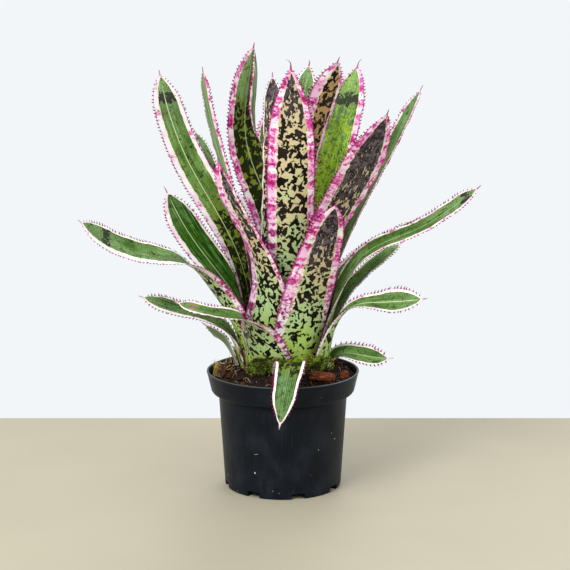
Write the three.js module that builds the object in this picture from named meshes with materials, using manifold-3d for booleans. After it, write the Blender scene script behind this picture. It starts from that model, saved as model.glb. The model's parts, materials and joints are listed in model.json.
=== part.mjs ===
// A potted tank bromeliad: a rosette of spiny, pink-edged strap leaves in a black nursery pot.
// Millimetres, +Z up, the front of the plant towards -Y, the pot's underside on z = 0.

import * as THREE from 'three';
import { mergeVertices } from 'three/addons/utils/BufferGeometryUtils.js';
import Module from 'manifold-3d';

const wasm = await Module();
wasm.setup();

const DEG = Math.PI / 180;
const GAP = 0.3;

// Pot: a 13 cm nursery pot with a stepped rim and drainage notches round its foot
const POT_HEIGHT = 100.5;
const POT_LIP_RADIUS = 65;
const POT_RIM_FOOT_RADIUS = 61.6;
const POT_RIM_FOOT_HEIGHT = 86;
const POT_SHOULDER_RADIUS = 54.8;
const POT_SHOULDER_HEIGHT = 79;
const POT_FOOT_RADIUS = 49.9;
const POT_WALL = 1.3;
const POT_FLOOR_UNDERSIDE = 2.4;
const POT_FLOOR_THICKNESS = 1.6;
const FOOT_RING_WIDTH = 6.5;
const CENTRE_PAD_RADIUS = 14;
const NOTCH_COUNT = 8;
const NOTCH_WIDTH = 11.5;
const NOTCH_HEIGHT = 5;
const NOTCH_DEPTH = 15;
const FIRST_NOTCH_AZIMUTH = -75;

// Potting mix: banked up round the plant, lower along the pot wall
const MIX_WALL_RADIUS = 61.5;
const MIX_WALL_HEIGHT = 95;
const MIX_MOUND_HEIGHT = 105.5;
const MIX_MOUND_RADIUS = 47.2;
const CROWN_RECESS_RADIUS = 44.2;
const CROWN_RECESS_FLOOR = 86;

// Stem base: the short cone that every leaf springs from
const STEM_RADIUS = 40.5;
const STEM_TOP_RADIUS = 5;
const OUTER_LEAF_RADIUS = 38;
const OUTER_LEAF_HEIGHT = 97;
const STEM_SLOPE = 0.7;

// Leaf blades
const LEAF_HALF_THICKNESS = 0.45;
const LEAF_EDGE_HALF_THICKNESS = 0.25;
const CUSP_LENGTH = 4;
const CUSP_HALF_WIDTH = 0.6;
const BLADE_ROWS = 10;
const TIP_ROWS = [0.35, 0.65, 0.88, 1];
const TIP_TAPER = 1.15;
const PLAIN_CUP = [36, 32, 24, 20, 17, 15];

// Every leaf, listed from the front round to the right, the left and the back.
// azimuth, baseRadius: where the base sits, in degrees anticlockwise from +X and mm from the axis.
// wrap: how far the sheath reaches round the stem to each side, in degrees.
// The lists run at even stations from base to tip: widths in mm (after the sheath's own width),
// rise above the horizontal, sway sideways from the azimuth, roll about the midrib and
// cup, the half angle of the channel that the blade is bent into, all in degrees.
const LEAVES = [
  {
    name: 'leaf_front_drooping', azimuth: -84, baseRadius: 40.5, baseHeight: 100, length: 94, wrap: 20,
    widths: [27, 24, 22, 21, 20], rise: [68, 42, -12, -60, -74, -76], sway: [0, 0, -9, -28, -42, -48],
    cup: [20, 20, 12, 10, 8, 8],
  },
  {
    name: 'leaf_front_right', azimuth: -62, baseRadius: 30.2, length: 166, wrap: 46,
    widths: [51, 47, 40, 31, 26], rise: [82, 78, 69, 64, 62, 60], roll: [0, 0, -5, -10, -12, -12],
    cup: [46, 36, 26, 18, 15, 12],
  },
  {
    name: 'leaf_front_left', azimuth: -114, baseRadius: 28.6, length: 192, wrap: 50,
    widths: [53, 42, 27, 24, 23], rise: [87, 86, 80, 64, 64, 88], sway: [0, 0, -28, -46, -52, -52],
    roll: [0, 0, 5, 20, 25, 25], cup: [50, 34, 24, 18, 14, 12],
  },
  {
    name: 'leaf_front_centre', azimuth: -75, baseRadius: 21, length: 256, wrap: 44, taper: 2,
    widths: [39, 39, 40, 37, 30], rise: [88, 85, 83, 81, 80, 80], sway: [0, -10, -12, -14, -16, -16],
    cup: [44, 38, 26, 17, 13, 12],
  },
  {
    name: 'leaf_front_folded', azimuth: -108, baseRadius: 37.5, length: 128, wrap: 28,
    widths: [50, 47, 25, 14, 9], rise: [71, 65, 63, 15, 14, 14], sway: [0, -20, -26, -51, -75, -96],
    roll: [0, 0, -3, -12, -26, -45], cup: [28, 34, 28, 22, 18, 15],
  },
  {
    name: 'leaf_heart_right', azimuth: -33, baseRadius: 17, length: 260, wrap: 44, taper: 0.9,
    widths: [31, 31, 29, 31, 33], rise: [89, 89, 88, 83, 70, 67], roll: [0, 0, -5, -12, -16, -18],
    cup: [44, 34, 28, 22, 17, 15],
  },
  {
    name: 'leaf_right_broad', azimuth: -36, baseRadius: 25.2, length: 238, wrap: 42,
    widths: [42, 44, 44, 44, 39], rise: [88, 84, 72, 58, 62, 66], roll: [0, 0, -8, -15, -17, -12],
  },
  {
    name: 'leaf_right_low', azimuth: -25, baseRadius: 36.6, length: 137, wrap: 29,
    widths: [33, 21, 17, 24, 21], rise: [79, 75, 57, 11, 8, 14], roll: [0, 5, 20, 45, 50],
    cup: [29, 26, 34, 32, 25, 20],
  },
  {
    name: 'leaf_right_long', azimuth: -8, baseRadius: 32.2, length: 222, wrap: 34,
    widths: [34, 27, 20, 19, 17], rise: [80, 76, 60, 23, 34, 42], roll: [0, 8, 20, 30, 34, 34],
  },
  {
    name: 'leaf_right_lowest', azimuth: -4, baseRadius: 39, length: 67, wrap: 20,
    widths: [26, 20, 19, 20, 18], rise: [82, 60, 2, -10, -6, 6], roll: [0, 10, 40, 45, 45],
    cup: [20, 40, 35, 25, 18, 15],
  },
  {
    name: 'leaf_right_middle', azimuth: 12, baseRadius: 33.9, length: 135, wrap: 29,
    widths: [29, 24, 19, 17, 15], rise: [80, 76, 64, 47, 38, 32], roll: [0, 5, 12, 18, 20],
  },
  {
    name: 'leaf_right_slender', azimuth: 20, baseRadius: 27, length: 257, wrap: 36,
    widths: [37, 34, 30, 26, 22], rise: [82, 76, 66, 59, 62, 62], cup: [36, 36, 30, 26, 24, 20],
  },
  {
    name: 'leaf_right_behind', azimuth: 42, baseRadius: 37, length: 188, wrap: 24,
    widths: [32, 24, 18, 15, 13], rise: [80, 70, 52, 26, 15, 24],
  },
  {
    name: 'leaf_right_tall', azimuth: 50, baseRadius: 22.4, length: 263, wrap: 28,
    widths: [36, 40, 42, 40, 36], rise: [84, 80, 72, 65, 68, 68], cup: [28, 30, 20, 18, 16, 15],
  },
  {
    name: 'leaf_left_tall', azimuth: 85, baseRadius: 19.8, length: 272, wrap: 36,
    widths: [32, 34, 36, 35, 31], rise: [89, 89, 74, 69, 95, 100], sway: [0, 30, 90, 90, 90, 90],
    roll: [0, -20, -80, -66, -54, -50],
  },
  {
    name: 'leaf_left_hidden', azimuth: 138, baseRadius: 27.5, length: 214, wrap: 13,
    widths: [17, 16, 15, 14, 12], rise: [84, 80, 74, 60, 60, 48], roll: [0, 0, 10, 10, 10],
  },
  {
    name: 'leaf_left_edgewise', azimuth: 151, baseRadius: 21.6, length: 254, wrap: 20,
    widths: [26, 22, 18, 16, 14], rise: [87, 82, 73, 71, 74, 87], roll: [0, 0, 20, 50, 60, 60],
  },
  {
    name: 'leaf_left_upper', azimuth: 155, baseRadius: 26.6, length: 267, wrap: 36,
    widths: [36, 35, 34, 30, 26], rise: [85, 82, 62, 56, 68, 80], roll: [0, -8, -20, -30, -32, -32],
  },
  {
    name: 'leaf_left_middle', azimuth: 159, baseRadius: 28.8, length: 171, wrap: 34,
    widths: [34, 33, 32, 30, 27], rise: [84, 75, 54, 49, 57, 65], roll: [0, 0, -12, -28, -35, -35],
  },
  {
    name: 'leaf_left_lowest', azimuth: 174, baseRadius: 38.5, length: 55, wrap: 24,
    widths: [34, 32, 28, 24, 20], rise: [76, 70, 58, 46, 40, 36], roll: [0, 5, 20, 35, 42],
  },
  {
    name: 'leaf_left_low', azimuth: 192, baseRadius: 35.4, length: 122, wrap: 18,
    widths: [22, 20, 17, 17, 16], rise: [80, 71, 38, 17, 20, 26], roll: [0, -10, -30, -40, -40],
    cup: [18, 34, 30, 22, 18, 15],
  },
  {
    name: 'leaf_left_long', azimuth: 213, baseRadius: 32.8, length: 227, wrap: 30,
    widths: [38, 32, 27, 25, 22], rise: [84, 65, 50, 14, 25, 42], sway: [0, -16, -16, 0, 5, 14],
    roll: [5, 15, 16, -27, -46, -56],
  },
  {
    name: 'leaf_heart_left', azimuth: -135, baseRadius: 14.5, length: 240, wrap: 46,
    widths: [30, 32, 30, 28, 24], rise: [89, 90, 92, 92, 90, 88],
  },
  {
    name: 'leaf_heart_back', azimuth: 66, baseRadius: 13.6, length: 248, wrap: 46,
    widths: [28, 28, 26, 22, 18], rise: [88, 87, 86, 84, 80, 77], sway: [0, 0, -5, -15, -25, -30],
    roll: [0, 0, 5, 15, 25, 30],
  },
  {
    name: 'leaf_heart_young_left', azimuth: 185, baseRadius: 7.6, length: 152, wrap: 58,
    widths: [16, 16, 15, 14, 12], rise: [90, 90, 89, 88, 88],
  },
  {
    name: 'leaf_heart_young_right', azimuth: 5, baseRadius: 6.6, length: 128, wrap: 58,
    widths: [15, 15, 14, 12, 10], rise: [90, 90, 90, 88, 87],
  },
  {
    name: 'leaf_back_inner_right', azimuth: 66, baseRadius: 24.6, length: 232, wrap: 34,
    widths: [36, 34, 32, 30, 28], rise: [84, 79, 72, 65, 62, 62],
  },
  {
    name: 'leaf_back_outer_right', azimuth: 74, baseRadius: 33, length: 190, wrap: 30,
    widths: [36, 32, 30, 28, 24], rise: [79, 74, 64, 54, 48, 46],
  },
  {
    name: 'leaf_back_middle', azimuth: 93, baseRadius: 30.5, length: 225, wrap: 34,
    widths: [38, 34, 32, 30, 26], rise: [82, 77, 67, 58, 54, 54],
  },
  {
    name: 'leaf_back_inner_left', azimuth: 102, baseRadius: 20.8, length: 215, wrap: 22,
    widths: [24, 22, 22, 22, 20], rise: [88, 84, 78, 71, 69, 70],
  },
  {
    name: 'leaf_back_outer_left', azimuth: 113, baseRadius: 35.5, length: 185, wrap: 32,
    widths: [36, 32, 30, 28, 24], rise: [76, 70, 58, 46, 42, 40],
  },
];

// Loose pieces on the mix: half sizes and centre in mm, turn about Z and tilt in degrees
const CHIPS = [
  { name: 'bark_chip_right', half: [12, 4.2, 3.8], at: [32, -43, 105], turn: 10, tilt: 5, look: 'bark' },
  { name: 'bark_chip_far_right', half: [4.5, 3.5, 4], at: [52, -21, 100], turn: 65, tilt: -8, look: 'bark' },
  { name: 'bark_chip_front', half: [4, 3.2, 4], at: [-7, -51, 103], turn: -20, tilt: 6, look: 'bark' },
  { name: 'peat_lump_left', half: [8, 7, 7], at: [-46, -24, 104.5], turn: 30, tilt: -6, look: 'peat' },
  { name: 'dry_husk_left', half: [2.5, 2.2, 6.5], at: [-56.3, -9, 102], turn: 10, tilt: 10, look: 'husk' },
  { name: 'moss_front_left', half: [8.5, 3.8, 8.5], at: [-20, -45.5, 112.5], turn: -18, tilt: 0, look: 'moss' },
  { name: 'moss_front_right', half: [7.5, 3.6, 8], at: [28.5, -36.5, 113.5], turn: 36, tilt: 0, look: 'moss' },
];

const COLOURS = {
  pot: { color: '#1f242c', roughness: 0.55 },
  mix: { color: '#2c2018', roughness: 0.98 },
  stem: { color: '#5b4a33', roughness: 0.9 },
  bark: { color: '#8a4a22', roughness: 0.92 },
  peat: { color: '#4a3018', roughness: 0.98 },
  husk: { color: '#8f8434', roughness: 0.85 },
  moss: { color: '#4f6a1c', roughness: 0.98 },
  outerLeaf: { color: '#5f8f45', roughness: 0.5 },
  heartLeaf: { color: '#3b4128', roughness: 0.5 },
};

function material(look) {
  return new THREE.MeshStandardMaterial({ ...look, metalness: 0 });
}

function namedMesh(name, geometry, look) {
  const mesh = new THREE.Mesh(geometry, material(look));
  mesh.name = name;
  return mesh;
}

// Closed meshes to and from solids that can be cut

function solidFrom(geometry) {
  const bare = geometry.clone();
  bare.deleteAttribute('normal');
  bare.deleteAttribute('uv');
  const merged = mergeVertices(bare, 1e-4);
  return new wasm.Manifold(new wasm.Mesh({
    numProp: 3,
    vertProperties: new Float32Array(merged.attributes.position.array),
    triVerts: new Uint32Array(merged.index.array),
  }));
}

function geometryFrom(solid) {
  const mesh = solid.getMesh();
  const geometry = new THREE.BufferGeometry();
  geometry.setAttribute('position', new THREE.BufferAttribute(mesh.vertProperties, 3));
  geometry.setIndex(new THREE.BufferAttribute(mesh.triVerts, 1));
  geometry.computeVertexNormals();
  return geometry;
}

// A solid of revolution about Z from a profile of [radius, height] pairs, going up the outside
function lathe(profile, segments) {
  const points = profile.map(([radius, height]) => new THREE.Vector2(radius, height));
  const geometry = new THREE.LatheGeometry(points, segments);
  geometry.rotateX(Math.PI / 2);
  return geometry;
}

// Pot

function potInnerRadius(height) {
  const slope = (POT_SHOULDER_RADIUS - POT_FOOT_RADIUS) / POT_SHOULDER_HEIGHT;
  return POT_FOOT_RADIUS - POT_WALL + slope * height;
}

function potGeometry() {
  const floorTop = POT_FLOOR_UNDERSIDE + POT_FLOOR_THICKNESS;
  const profile = [
    [0, 0],
    [CENTRE_PAD_RADIUS, 0],
    [CENTRE_PAD_RADIUS + 1.5, POT_FLOOR_UNDERSIDE],
    [POT_FOOT_RADIUS - FOOT_RING_WIDTH - 1.5, POT_FLOOR_UNDERSIDE],
    [POT_FOOT_RADIUS - FOOT_RING_WIDTH, 0],
    [POT_FOOT_RADIUS - 1, 0],
    [POT_FOOT_RADIUS, 1],
    [POT_SHOULDER_RADIUS, POT_SHOULDER_HEIGHT],
    [POT_SHOULDER_RADIUS + 1.8, POT_SHOULDER_HEIGHT + 1],
    [POT_RIM_FOOT_RADIUS - 1.2, POT_RIM_FOOT_HEIGHT - 3.2],
    [POT_RIM_FOOT_RADIUS, POT_RIM_FOOT_HEIGHT],
    [POT_LIP_RADIUS - 0.4, POT_HEIGHT - 1.6],
    [POT_LIP_RADIUS, POT_HEIGHT - 0.8],
    [POT_LIP_RADIUS - 0.5, POT_HEIGHT],
    [POT_LIP_RADIUS - POT_WALL - 0.3, POT_HEIGHT],
    [POT_LIP_RADIUS - POT_WALL - 0.8, POT_HEIGHT - 1],
    [POT_RIM_FOOT_RADIUS - POT_WALL, POT_RIM_FOOT_HEIGHT + 0.8],
    [POT_RIM_FOOT_RADIUS - POT_WALL - 1.6, POT_RIM_FOOT_HEIGHT - 2],
    [POT_SHOULDER_RADIUS + 0.4, POT_SHOULDER_HEIGHT + 2.4],
    [potInnerRadius(POT_SHOULDER_HEIGHT), POT_SHOULDER_HEIGHT + 0.6],
    [potInnerRadius(floorTop) - 0.4, floorTop + 1],
    [potInnerRadius(floorTop) - 1.4, floorTop],
    [0, floorTop],
  ];
  let pot = solidFrom(lathe(profile, 56));
  for (let i = 0; i < NOTCH_COUNT; i += 1) {
    const notch = new THREE.BoxGeometry(NOTCH_DEPTH, NOTCH_WIDTH, 2 * NOTCH_HEIGHT);
    notch.translate(POT_FOOT_RADIUS, 0, 0);
    notch.rotateZ((FIRST_NOTCH_AZIMUTH + (i * 360) / NOTCH_COUNT) * DEG);
    pot = pot.subtract(solidFrom(notch));
  }
  return geometryFrom(pot);
}

// Loose pieces: a lumpy ball, pulled to its half sizes, the same each time it is made

function lumpGeometry(piece, seed, clearance) {
  const lump = new THREE.IcosahedronGeometry(1, 2);
  const position = lump.attributes.position;
  const point = new THREE.Vector3();
  for (let i = 0; i < position.count; i += 1) {
    point.fromBufferAttribute(position, i);
    const wave = Math.sin(4.1 * point.x + seed) + Math.sin(5.3 * point.y - 2 * seed)
      + Math.sin(4.7 * point.z + 3 * seed);
    point.multiplyScalar(1 + 0.05 * wave);
    position.setXYZ(
      i,
      point.x * (piece.half[0] + clearance),
      point.y * (piece.half[1] + clearance),
      point.z * (piece.half[2] + clearance),
    );
  }
  lump.computeVertexNormals();
  return lump;
}

function lumpMesh(piece, seed) {
  const mesh = namedMesh(piece.name, lumpGeometry(piece, seed, 0), COLOURS[piece.look]);
  mesh.position.set(...piece.at);
  mesh.rotation.set(0, piece.tilt * DEG, piece.turn * DEG, 'ZYX');
  return mesh;
}

// Potting mix, hollowed for the stem base and for the chips that lie half sunk in it

function mixGeometry(chipMeshes) {
  const floor = POT_FLOOR_UNDERSIDE + POT_FLOOR_THICKNESS + GAP;
  const profile = [
    [0, floor],
    [potInnerRadius(floor) - 2, floor],
    [potInnerRadius(floor) - 0.8, floor + 1.2],
    [potInnerRadius(POT_SHOULDER_HEIGHT) - GAP, POT_SHOULDER_HEIGHT + 0.8],
    [POT_SHOULDER_RADIUS, POT_SHOULDER_HEIGHT + 2.6],
    [POT_RIM_FOOT_RADIUS - POT_WALL - 2.1, POT_RIM_FOOT_HEIGHT - 1.9],
    [POT_RIM_FOOT_RADIUS - POT_WALL - 0.4, POT_RIM_FOOT_HEIGHT + 0.9],
    [MIX_WALL_RADIUS, MIX_WALL_HEIGHT],
    [56, MIX_WALL_HEIGHT + 2.2],
    [51, MIX_WALL_HEIGHT + 6.2],
    [MIX_MOUND_RADIUS, MIX_MOUND_HEIGHT],
    [CROWN_RECESS_RADIUS, MIX_MOUND_HEIGHT - 0.6],
    [CROWN_RECESS_RADIUS, CROWN_RECESS_FLOOR],
    [0, CROWN_RECESS_FLOOR],
  ];
  let mix = solidFrom(lathe(profile, 48));
  chipMeshes.forEach((chip, index) => {
    chip.updateMatrixWorld();
    const hollow = lumpGeometry(CHIPS[index], index + 1, GAP);
    hollow.applyMatrix4(chip.matrixWorld);
    mix = mix.subtract(solidFrom(hollow));
  });
  return geometryFrom(mix);
}

// Stem base: its upper slope passes just under the foot of every leaf

function stemHeight(radius) {
  return OUTER_LEAF_HEIGHT + (OUTER_LEAF_RADIUS - radius) * STEM_SLOPE;
}

function stemGeometry() {
  const profile = [
    [0, CROWN_RECESS_FLOOR + GAP],
    [STEM_RADIUS - 3, CROWN_RECESS_FLOOR + GAP],
    [STEM_RADIUS, CROWN_RECESS_FLOOR + 4],
    [STEM_RADIUS, stemHeight(STEM_RADIUS) - 1.2],
    [STEM_TOP_RADIUS, stemHeight(STEM_TOP_RADIUS) - 1.2],
    [0, stemHeight(STEM_TOP_RADIUS)],
  ];
  return lathe(profile, 32);
}

// Leaves

// Smooth value at s = 0 to 1 through evenly spaced stations
function track(values, s) {
  const last = values.length - 1;
  if (last === 0) return values[0];
  const x = Math.min(Math.max(s, 0), 1) * last;
  const i = Math.min(Math.floor(x), last - 1);
  const t = x - i;
  const p1 = values[i];
  const p2 = values[i + 1];
  const p0 = i > 0 ? values[i - 1] : 2 * p1 - p2;
  const p3 = i + 2 <= last ? values[i + 2] : 2 * p2 - p1;
  return 0.5 * (2 * p1 + (p2 - p0) * t + (2 * p0 - 5 * p1 + 4 * p2 - p3) * t * t
    + (3 * p1 - p0 - 3 * p2 + p3) * t * t * t);
}

// The leaf's own frame at s: along the midrib, across the blade and out of its upper face
function leafFrame(leaf, s) {
  const rise = track(leaf.rise, s) * DEG;
  const heading = track(leaf.sway ?? [0], s) * DEG;
  const roll = track(leaf.roll ?? [0], s) * DEG;
  const along = new THREE.Vector3(
    Math.cos(rise) * Math.cos(heading), Math.cos(rise) * Math.sin(heading), Math.sin(rise));
  const level = new THREE.Vector3(-Math.sin(heading), Math.cos(heading), 0);
  const across = level.applyAxisAngle(along, roll);
  const upper = new THREE.Vector3().crossVectors(along, across);
  return { along, across, upper };
}

function leafWidths(leaf) {
  return [2 * leaf.baseRadius * leaf.wrap * DEG, ...leaf.widths];
}

function leafHalfWidth(leaf, s) {
  const widths = leafWidths(leaf);
  const bladeEnd = 1 - CUSP_LENGTH / leaf.length;
  const taperStart = bladeEnd - ((leaf.taper ?? TIP_TAPER) * widths.at(-1)) / leaf.length;
  const full = track(widths, s) / 2;
  const t = Math.min(Math.max((s - taperStart) / (bladeEnd - taperStart), 0), 1);
  const half = Math.max(full * (1 - t ** 1.9) ** 0.78, CUSP_HALF_WIDTH);
  return { full, half, taperStart, bladeEnd };
}

// Places along the leaf where its sections are taken: even ones, then closer ones at the tip
function leafRows(leaf) {
  const { taperStart, bladeEnd } = leafHalfWidth(leaf, 1);
  const rows = [];
  for (let i = 0; i <= BLADE_ROWS; i += 1) {
    rows.push((taperStart * i) / BLADE_ROWS);
  }
  TIP_ROWS.forEach((share) => rows.push(taperStart + share * (bladeEnd - taperStart)));
  rows.push(1);
  return rows;
}

// Midrib points at the rows, found by stepping along the rise and heading
function leafMidrib(leaf, rows) {
  const steps = 4;
  const points = [new THREE.Vector3()];
  for (let i = 1; i < rows.length; i += 1) {
    const point = points[i - 1].clone();
    const step = (rows[i] - rows[i - 1]) / steps;
    for (let k = 0; k < steps; k += 1) {
      const { along } = leafFrame(leaf, rows[i - 1] + (k + 0.5) * step);
      point.addScaledVector(along, step * leaf.length);
    }
    points.push(point);
  }
  return points;
}

// One point of a blade's section: share runs from -1 to 1 across it, offset out of the upper face
function sectionPoint(centre, frame, half, full, cup, share, offset) {
  const bend = full / (cup * DEG);
  const angle = (share * half) / bend;
  return centre.clone()
    .addScaledVector(frame.across, Math.sin(angle) * (bend - offset))
    .addScaledVector(frame.upper, bend - Math.cos(angle) * (bend - offset));
}

function leafGeometry(leaf) {
  const rows = leafRows(leaf);
  const midrib = leafMidrib(leaf, rows);
  const columns = Math.max(...leaf.widths) > 44 ? 6 : 4;
  const upperPoints = [];
  const underPoints = [];
  rows.forEach((s, row) => {
    const frame = leafFrame(leaf, s);
    const { full, half } = leafHalfWidth(leaf, s);
    const cup = s === 0 ? leaf.wrap : track(leaf.cup ?? [leaf.wrap, ...PLAIN_CUP.slice(1)], s);
    for (let column = 0; column <= columns; column += 1) {
      const share = -1 + (2 * column) / columns;
      const thickness = LEAF_HALF_THICKNESS
        + (LEAF_EDGE_HALF_THICKNESS - LEAF_HALF_THICKNESS) * Math.abs(share);
      upperPoints.push(sectionPoint(midrib[row], frame, half, full, cup, share, thickness));
      underPoints.push(sectionPoint(midrib[row], frame, half, full, cup, share, -thickness));
    }
  });

  const perRow = columns + 1;
  const lastRow = rows.length - 1;
  const upper = (row, column) => row * perRow + column;
  const under = (row, column) => upperPoints.length + upper(row, column);
  const quads = [];
  for (let row = 0; row < lastRow; row += 1) {
    const next = row + 1;
    for (let column = 0; column < columns; column += 1) {
      const right = column + 1;
      quads.push([upper(row, column), upper(next, column), upper(next, right), upper(row, right)]);
      quads.push([under(row, column), under(row, right), under(next, right), under(next, column)]);
    }
    quads.push([under(row, columns), upper(row, columns), upper(next, columns), under(next, columns)]);
    quads.push([under(row, 0), under(next, 0), upper(next, 0), upper(row, 0)]);
  }
  for (let column = 0; column < columns; column += 1) {
    const right = column + 1;
    quads.push([under(0, column), upper(0, column), upper(0, right), under(0, right)]);
    quads.push([
      under(lastRow, column), under(lastRow, right), upper(lastRow, right), upper(lastRow, column),
    ]);
  }

  const geometry = new THREE.BufferGeometry().setFromPoints([...upperPoints, ...underPoints]);
  geometry.setIndex(quads.flatMap(([a, b, c, d]) => [a, b, c, a, c, d]));
  geometry.computeVertexNormals();
  return geometry;
}

function leafMesh(leaf) {
  const age = (leaf.baseRadius - 14) / (40 - 14);
  const colour = new THREE.Color(COLOURS.heartLeaf.color).lerp(
    new THREE.Color(COLOURS.outerLeaf.color), age);
  const look = { color: colour, roughness: COLOURS.outerLeaf.roughness };
  const mesh = namedMesh(leaf.name, leafGeometry(leaf), look);
  const azimuth = leaf.azimuth * DEG;
  mesh.position.set(
    leaf.baseRadius * Math.cos(azimuth),
    leaf.baseRadius * Math.sin(azimuth),
    leaf.baseHeight ?? stemHeight(leaf.baseRadius),
  );
  mesh.rotation.z = azimuth;
  return mesh;
}

// The whole plant in its pot

const chips = CHIPS.map((chip, index) => lumpMesh(chip, index + 1));

const potAndMix = new THREE.Group();
potAndMix.add(namedMesh('pot', potGeometry(), COLOURS.pot));
potAndMix.add(namedMesh('potting_mix', mixGeometry(chips), COLOURS.mix));
potAndMix.add(...chips);

const rosette = new THREE.Group();
rosette.add(namedMesh('stem_base', stemGeometry(), COLOURS.stem));
rosette.add(...LEAVES.map(leafMesh));

const plant = new THREE.Group();
plant.add(potAndMix, rosette);

export default plant;
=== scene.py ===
"""The looks of a potted tank bromeliad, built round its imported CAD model.

Lengths are written in millimetres and turned into Blender's metres where a mesh is made.
+Z is up and -Y is the plant's front. The plant, the mix and the pot are all rebuilt in fine
meshes, each of which replaces one CAD node. Crumbs, roots, fibres and creeping moss are added.
"""

import json
import math
import random

import bmesh
import bpy
import numpy as np
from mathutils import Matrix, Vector, noise


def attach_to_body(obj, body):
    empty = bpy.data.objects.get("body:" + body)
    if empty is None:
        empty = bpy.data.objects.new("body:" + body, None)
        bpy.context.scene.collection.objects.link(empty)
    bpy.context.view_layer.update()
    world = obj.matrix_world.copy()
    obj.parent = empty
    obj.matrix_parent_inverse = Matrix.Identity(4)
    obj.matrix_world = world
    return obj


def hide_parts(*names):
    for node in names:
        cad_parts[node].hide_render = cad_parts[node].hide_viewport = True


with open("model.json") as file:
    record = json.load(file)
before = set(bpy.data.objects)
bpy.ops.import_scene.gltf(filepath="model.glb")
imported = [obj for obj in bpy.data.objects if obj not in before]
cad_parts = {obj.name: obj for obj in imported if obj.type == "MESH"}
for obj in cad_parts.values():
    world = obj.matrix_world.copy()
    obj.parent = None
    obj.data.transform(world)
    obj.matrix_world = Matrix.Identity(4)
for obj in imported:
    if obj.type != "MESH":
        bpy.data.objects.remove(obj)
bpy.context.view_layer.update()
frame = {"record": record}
MM = 0.001
TURN = 2 * math.pi
# A turn cut off after two places, which the random angles and the ruffles are drawn with
SHORT_TURN = 6.28
BODY = "root"
SLOTS = {row["node"]: row["material_slot"] for row in frame["record"]["subparts"]}


# Meshes

def make_piece(name, points, faces, material, uv=None, attributes=None, smooth=True):
    """A mesh piece from points in mm. uv holds one pair for each face corner, in order."""
    mesh = bpy.data.meshes.new(name)
    points = np.asarray(points, float)
    mesh.from_pydata((points * MM).tolist(), [], faces)
    for key, values in (attributes or {}).items():
        layer = mesh.attributes.new(key, "FLOAT_VECTOR", "POINT")
        layer.data.foreach_set("vector", np.asarray(values, np.float32).ravel())
    if uv is not None:
        layer = mesh.uv_layers.new(name="OFBake")
        layer.uv.foreach_set("vector", np.asarray(uv, np.float32).ravel())
    mesh.polygons.foreach_set("use_smooth", [smooth] * len(mesh.polygons))
    mesh.materials.append(material)
    mesh.update()
    piece = bpy.data.objects.new(name, mesh)
    bpy.context.scene.collection.objects.link(piece)
    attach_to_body(piece, BODY)
    return piece


class Heap:
    """Gathers many small closed shapes into one mesh."""

    def __init__(self):
        self.points = []
        self.faces = []
        self.tints = []
        self.count = 0

    def add(self, points, faces, tint):
        self.points.append(points)
        self.faces.extend(tuple(self.count + i for i in face) for face in faces)
        self.tints.append(np.tile(tint, (len(points), 1)))
        self.count += len(points)

    def piece(self, name, material, slot, smooth=True):
        return make_piece(name, np.concatenate(self.points), self.faces, material,
                          attributes={"tint": np.concatenate(self.tints)}, smooth=smooth)


def unit(vectors):
    """The vectors at length 1."""
    return vectors / np.maximum(np.linalg.norm(vectors, axis=-1, keepdims=True), 1e-9)


def ramp(x, start, end):
    """Goes smoothly from 0 to 1 as x goes from start to end."""
    t = np.clip((x - start) / (end - start), 0, 1)
    return t * t * (3 - 2 * t)


def drawn(rng, *pairs):
    """A random vector: each part is drawn round its own mean and with its own spread."""
    return np.array([rng.gauss(mean, spread) for mean, spread in pairs])


def ring_faces(near, far, sides):
    """The faces between two rings of points, numbered from near and from far."""
    return [(near + k, near + (k + 1) % sides, far + (k + 1) % sides, far + k) for k in range(sides)]


def tube(path, radii, sides, flatness=1.0, flat_axis=(0.0, 0.0, 1.0)):
    """Points and faces of a closed tube along path, squeezed along flat_axis by flatness."""
    path = np.asarray(path, float)
    radii = np.asarray(radii)[:, None]
    tangents = unit(np.gradient(path, axis=0))
    first = unit(np.cross(tangents, np.asarray(flat_axis, float)))
    second = np.cross(tangents, first)
    turn = np.arange(sides) * TURN / sides
    rings = (path[:, None] + np.cos(turn)[None, :, None] * (first * radii)[:, None]
             + np.sin(turn)[None, :, None] * (second * radii * flatness)[:, None])
    faces = []
    for row in range(len(path) - 1):
        faces.extend(ring_faces(row * sides, (row + 1) * sides, sides))
    last = (len(path) - 1) * sides
    faces.append(tuple(range(sides))[::-1])
    faces.append(tuple(range(last, last + sides)))
    return rings.reshape(-1, 3), faces


def lathe(profile, segments):
    """Points and faces of a solid turned about Z, from (radius, height) pairs going up the outside."""
    turn = np.arange(segments) * TURN / segments
    points = []
    rings = []
    for radius, height in profile:
        start = len(points)
        if radius < 1e-6:
            points.append((0.0, 0.0, height))
            rings.append([start] * segments)
        else:
            points.extend((radius * math.cos(a), radius * math.sin(a), height) for a in turn)
            rings.append(range(start, start + segments))
    faces = []
    for low, high in zip(rings[:-1], rings[1:]):
        for k in range(segments):
            after = (k + 1) % segments
            faces.append(tuple(dict.fromkeys((low[k], low[after], high[after], high[k]))))
    return np.array(points), faces


def refined(profile, step):
    """The same outline with no stretch longer than step."""
    result = []
    for (r0, z0), (r1, z1) in zip(profile[:-1], profile[1:]):
        parts = max(1, math.ceil(math.hypot(r1 - r0, z1 - z0) / step))
        result.extend((r0 + (r1 - r0) * k / parts, z0 + (z1 - z0) * k / parts) for k in range(parts))
    return [*result, profile[-1]]


def ball(level):
    """Points and faces of a round ball of radius 1."""
    form = bmesh.new()
    bmesh.ops.create_icosphere(form, subdivisions=level, radius=1.0)
    form.verts.index_update()
    points = np.array([v.co for v in form.verts])
    faces = [tuple(v.index for v in face.verts) for face in form.faces]
    form.free()
    return points, faces


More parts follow.
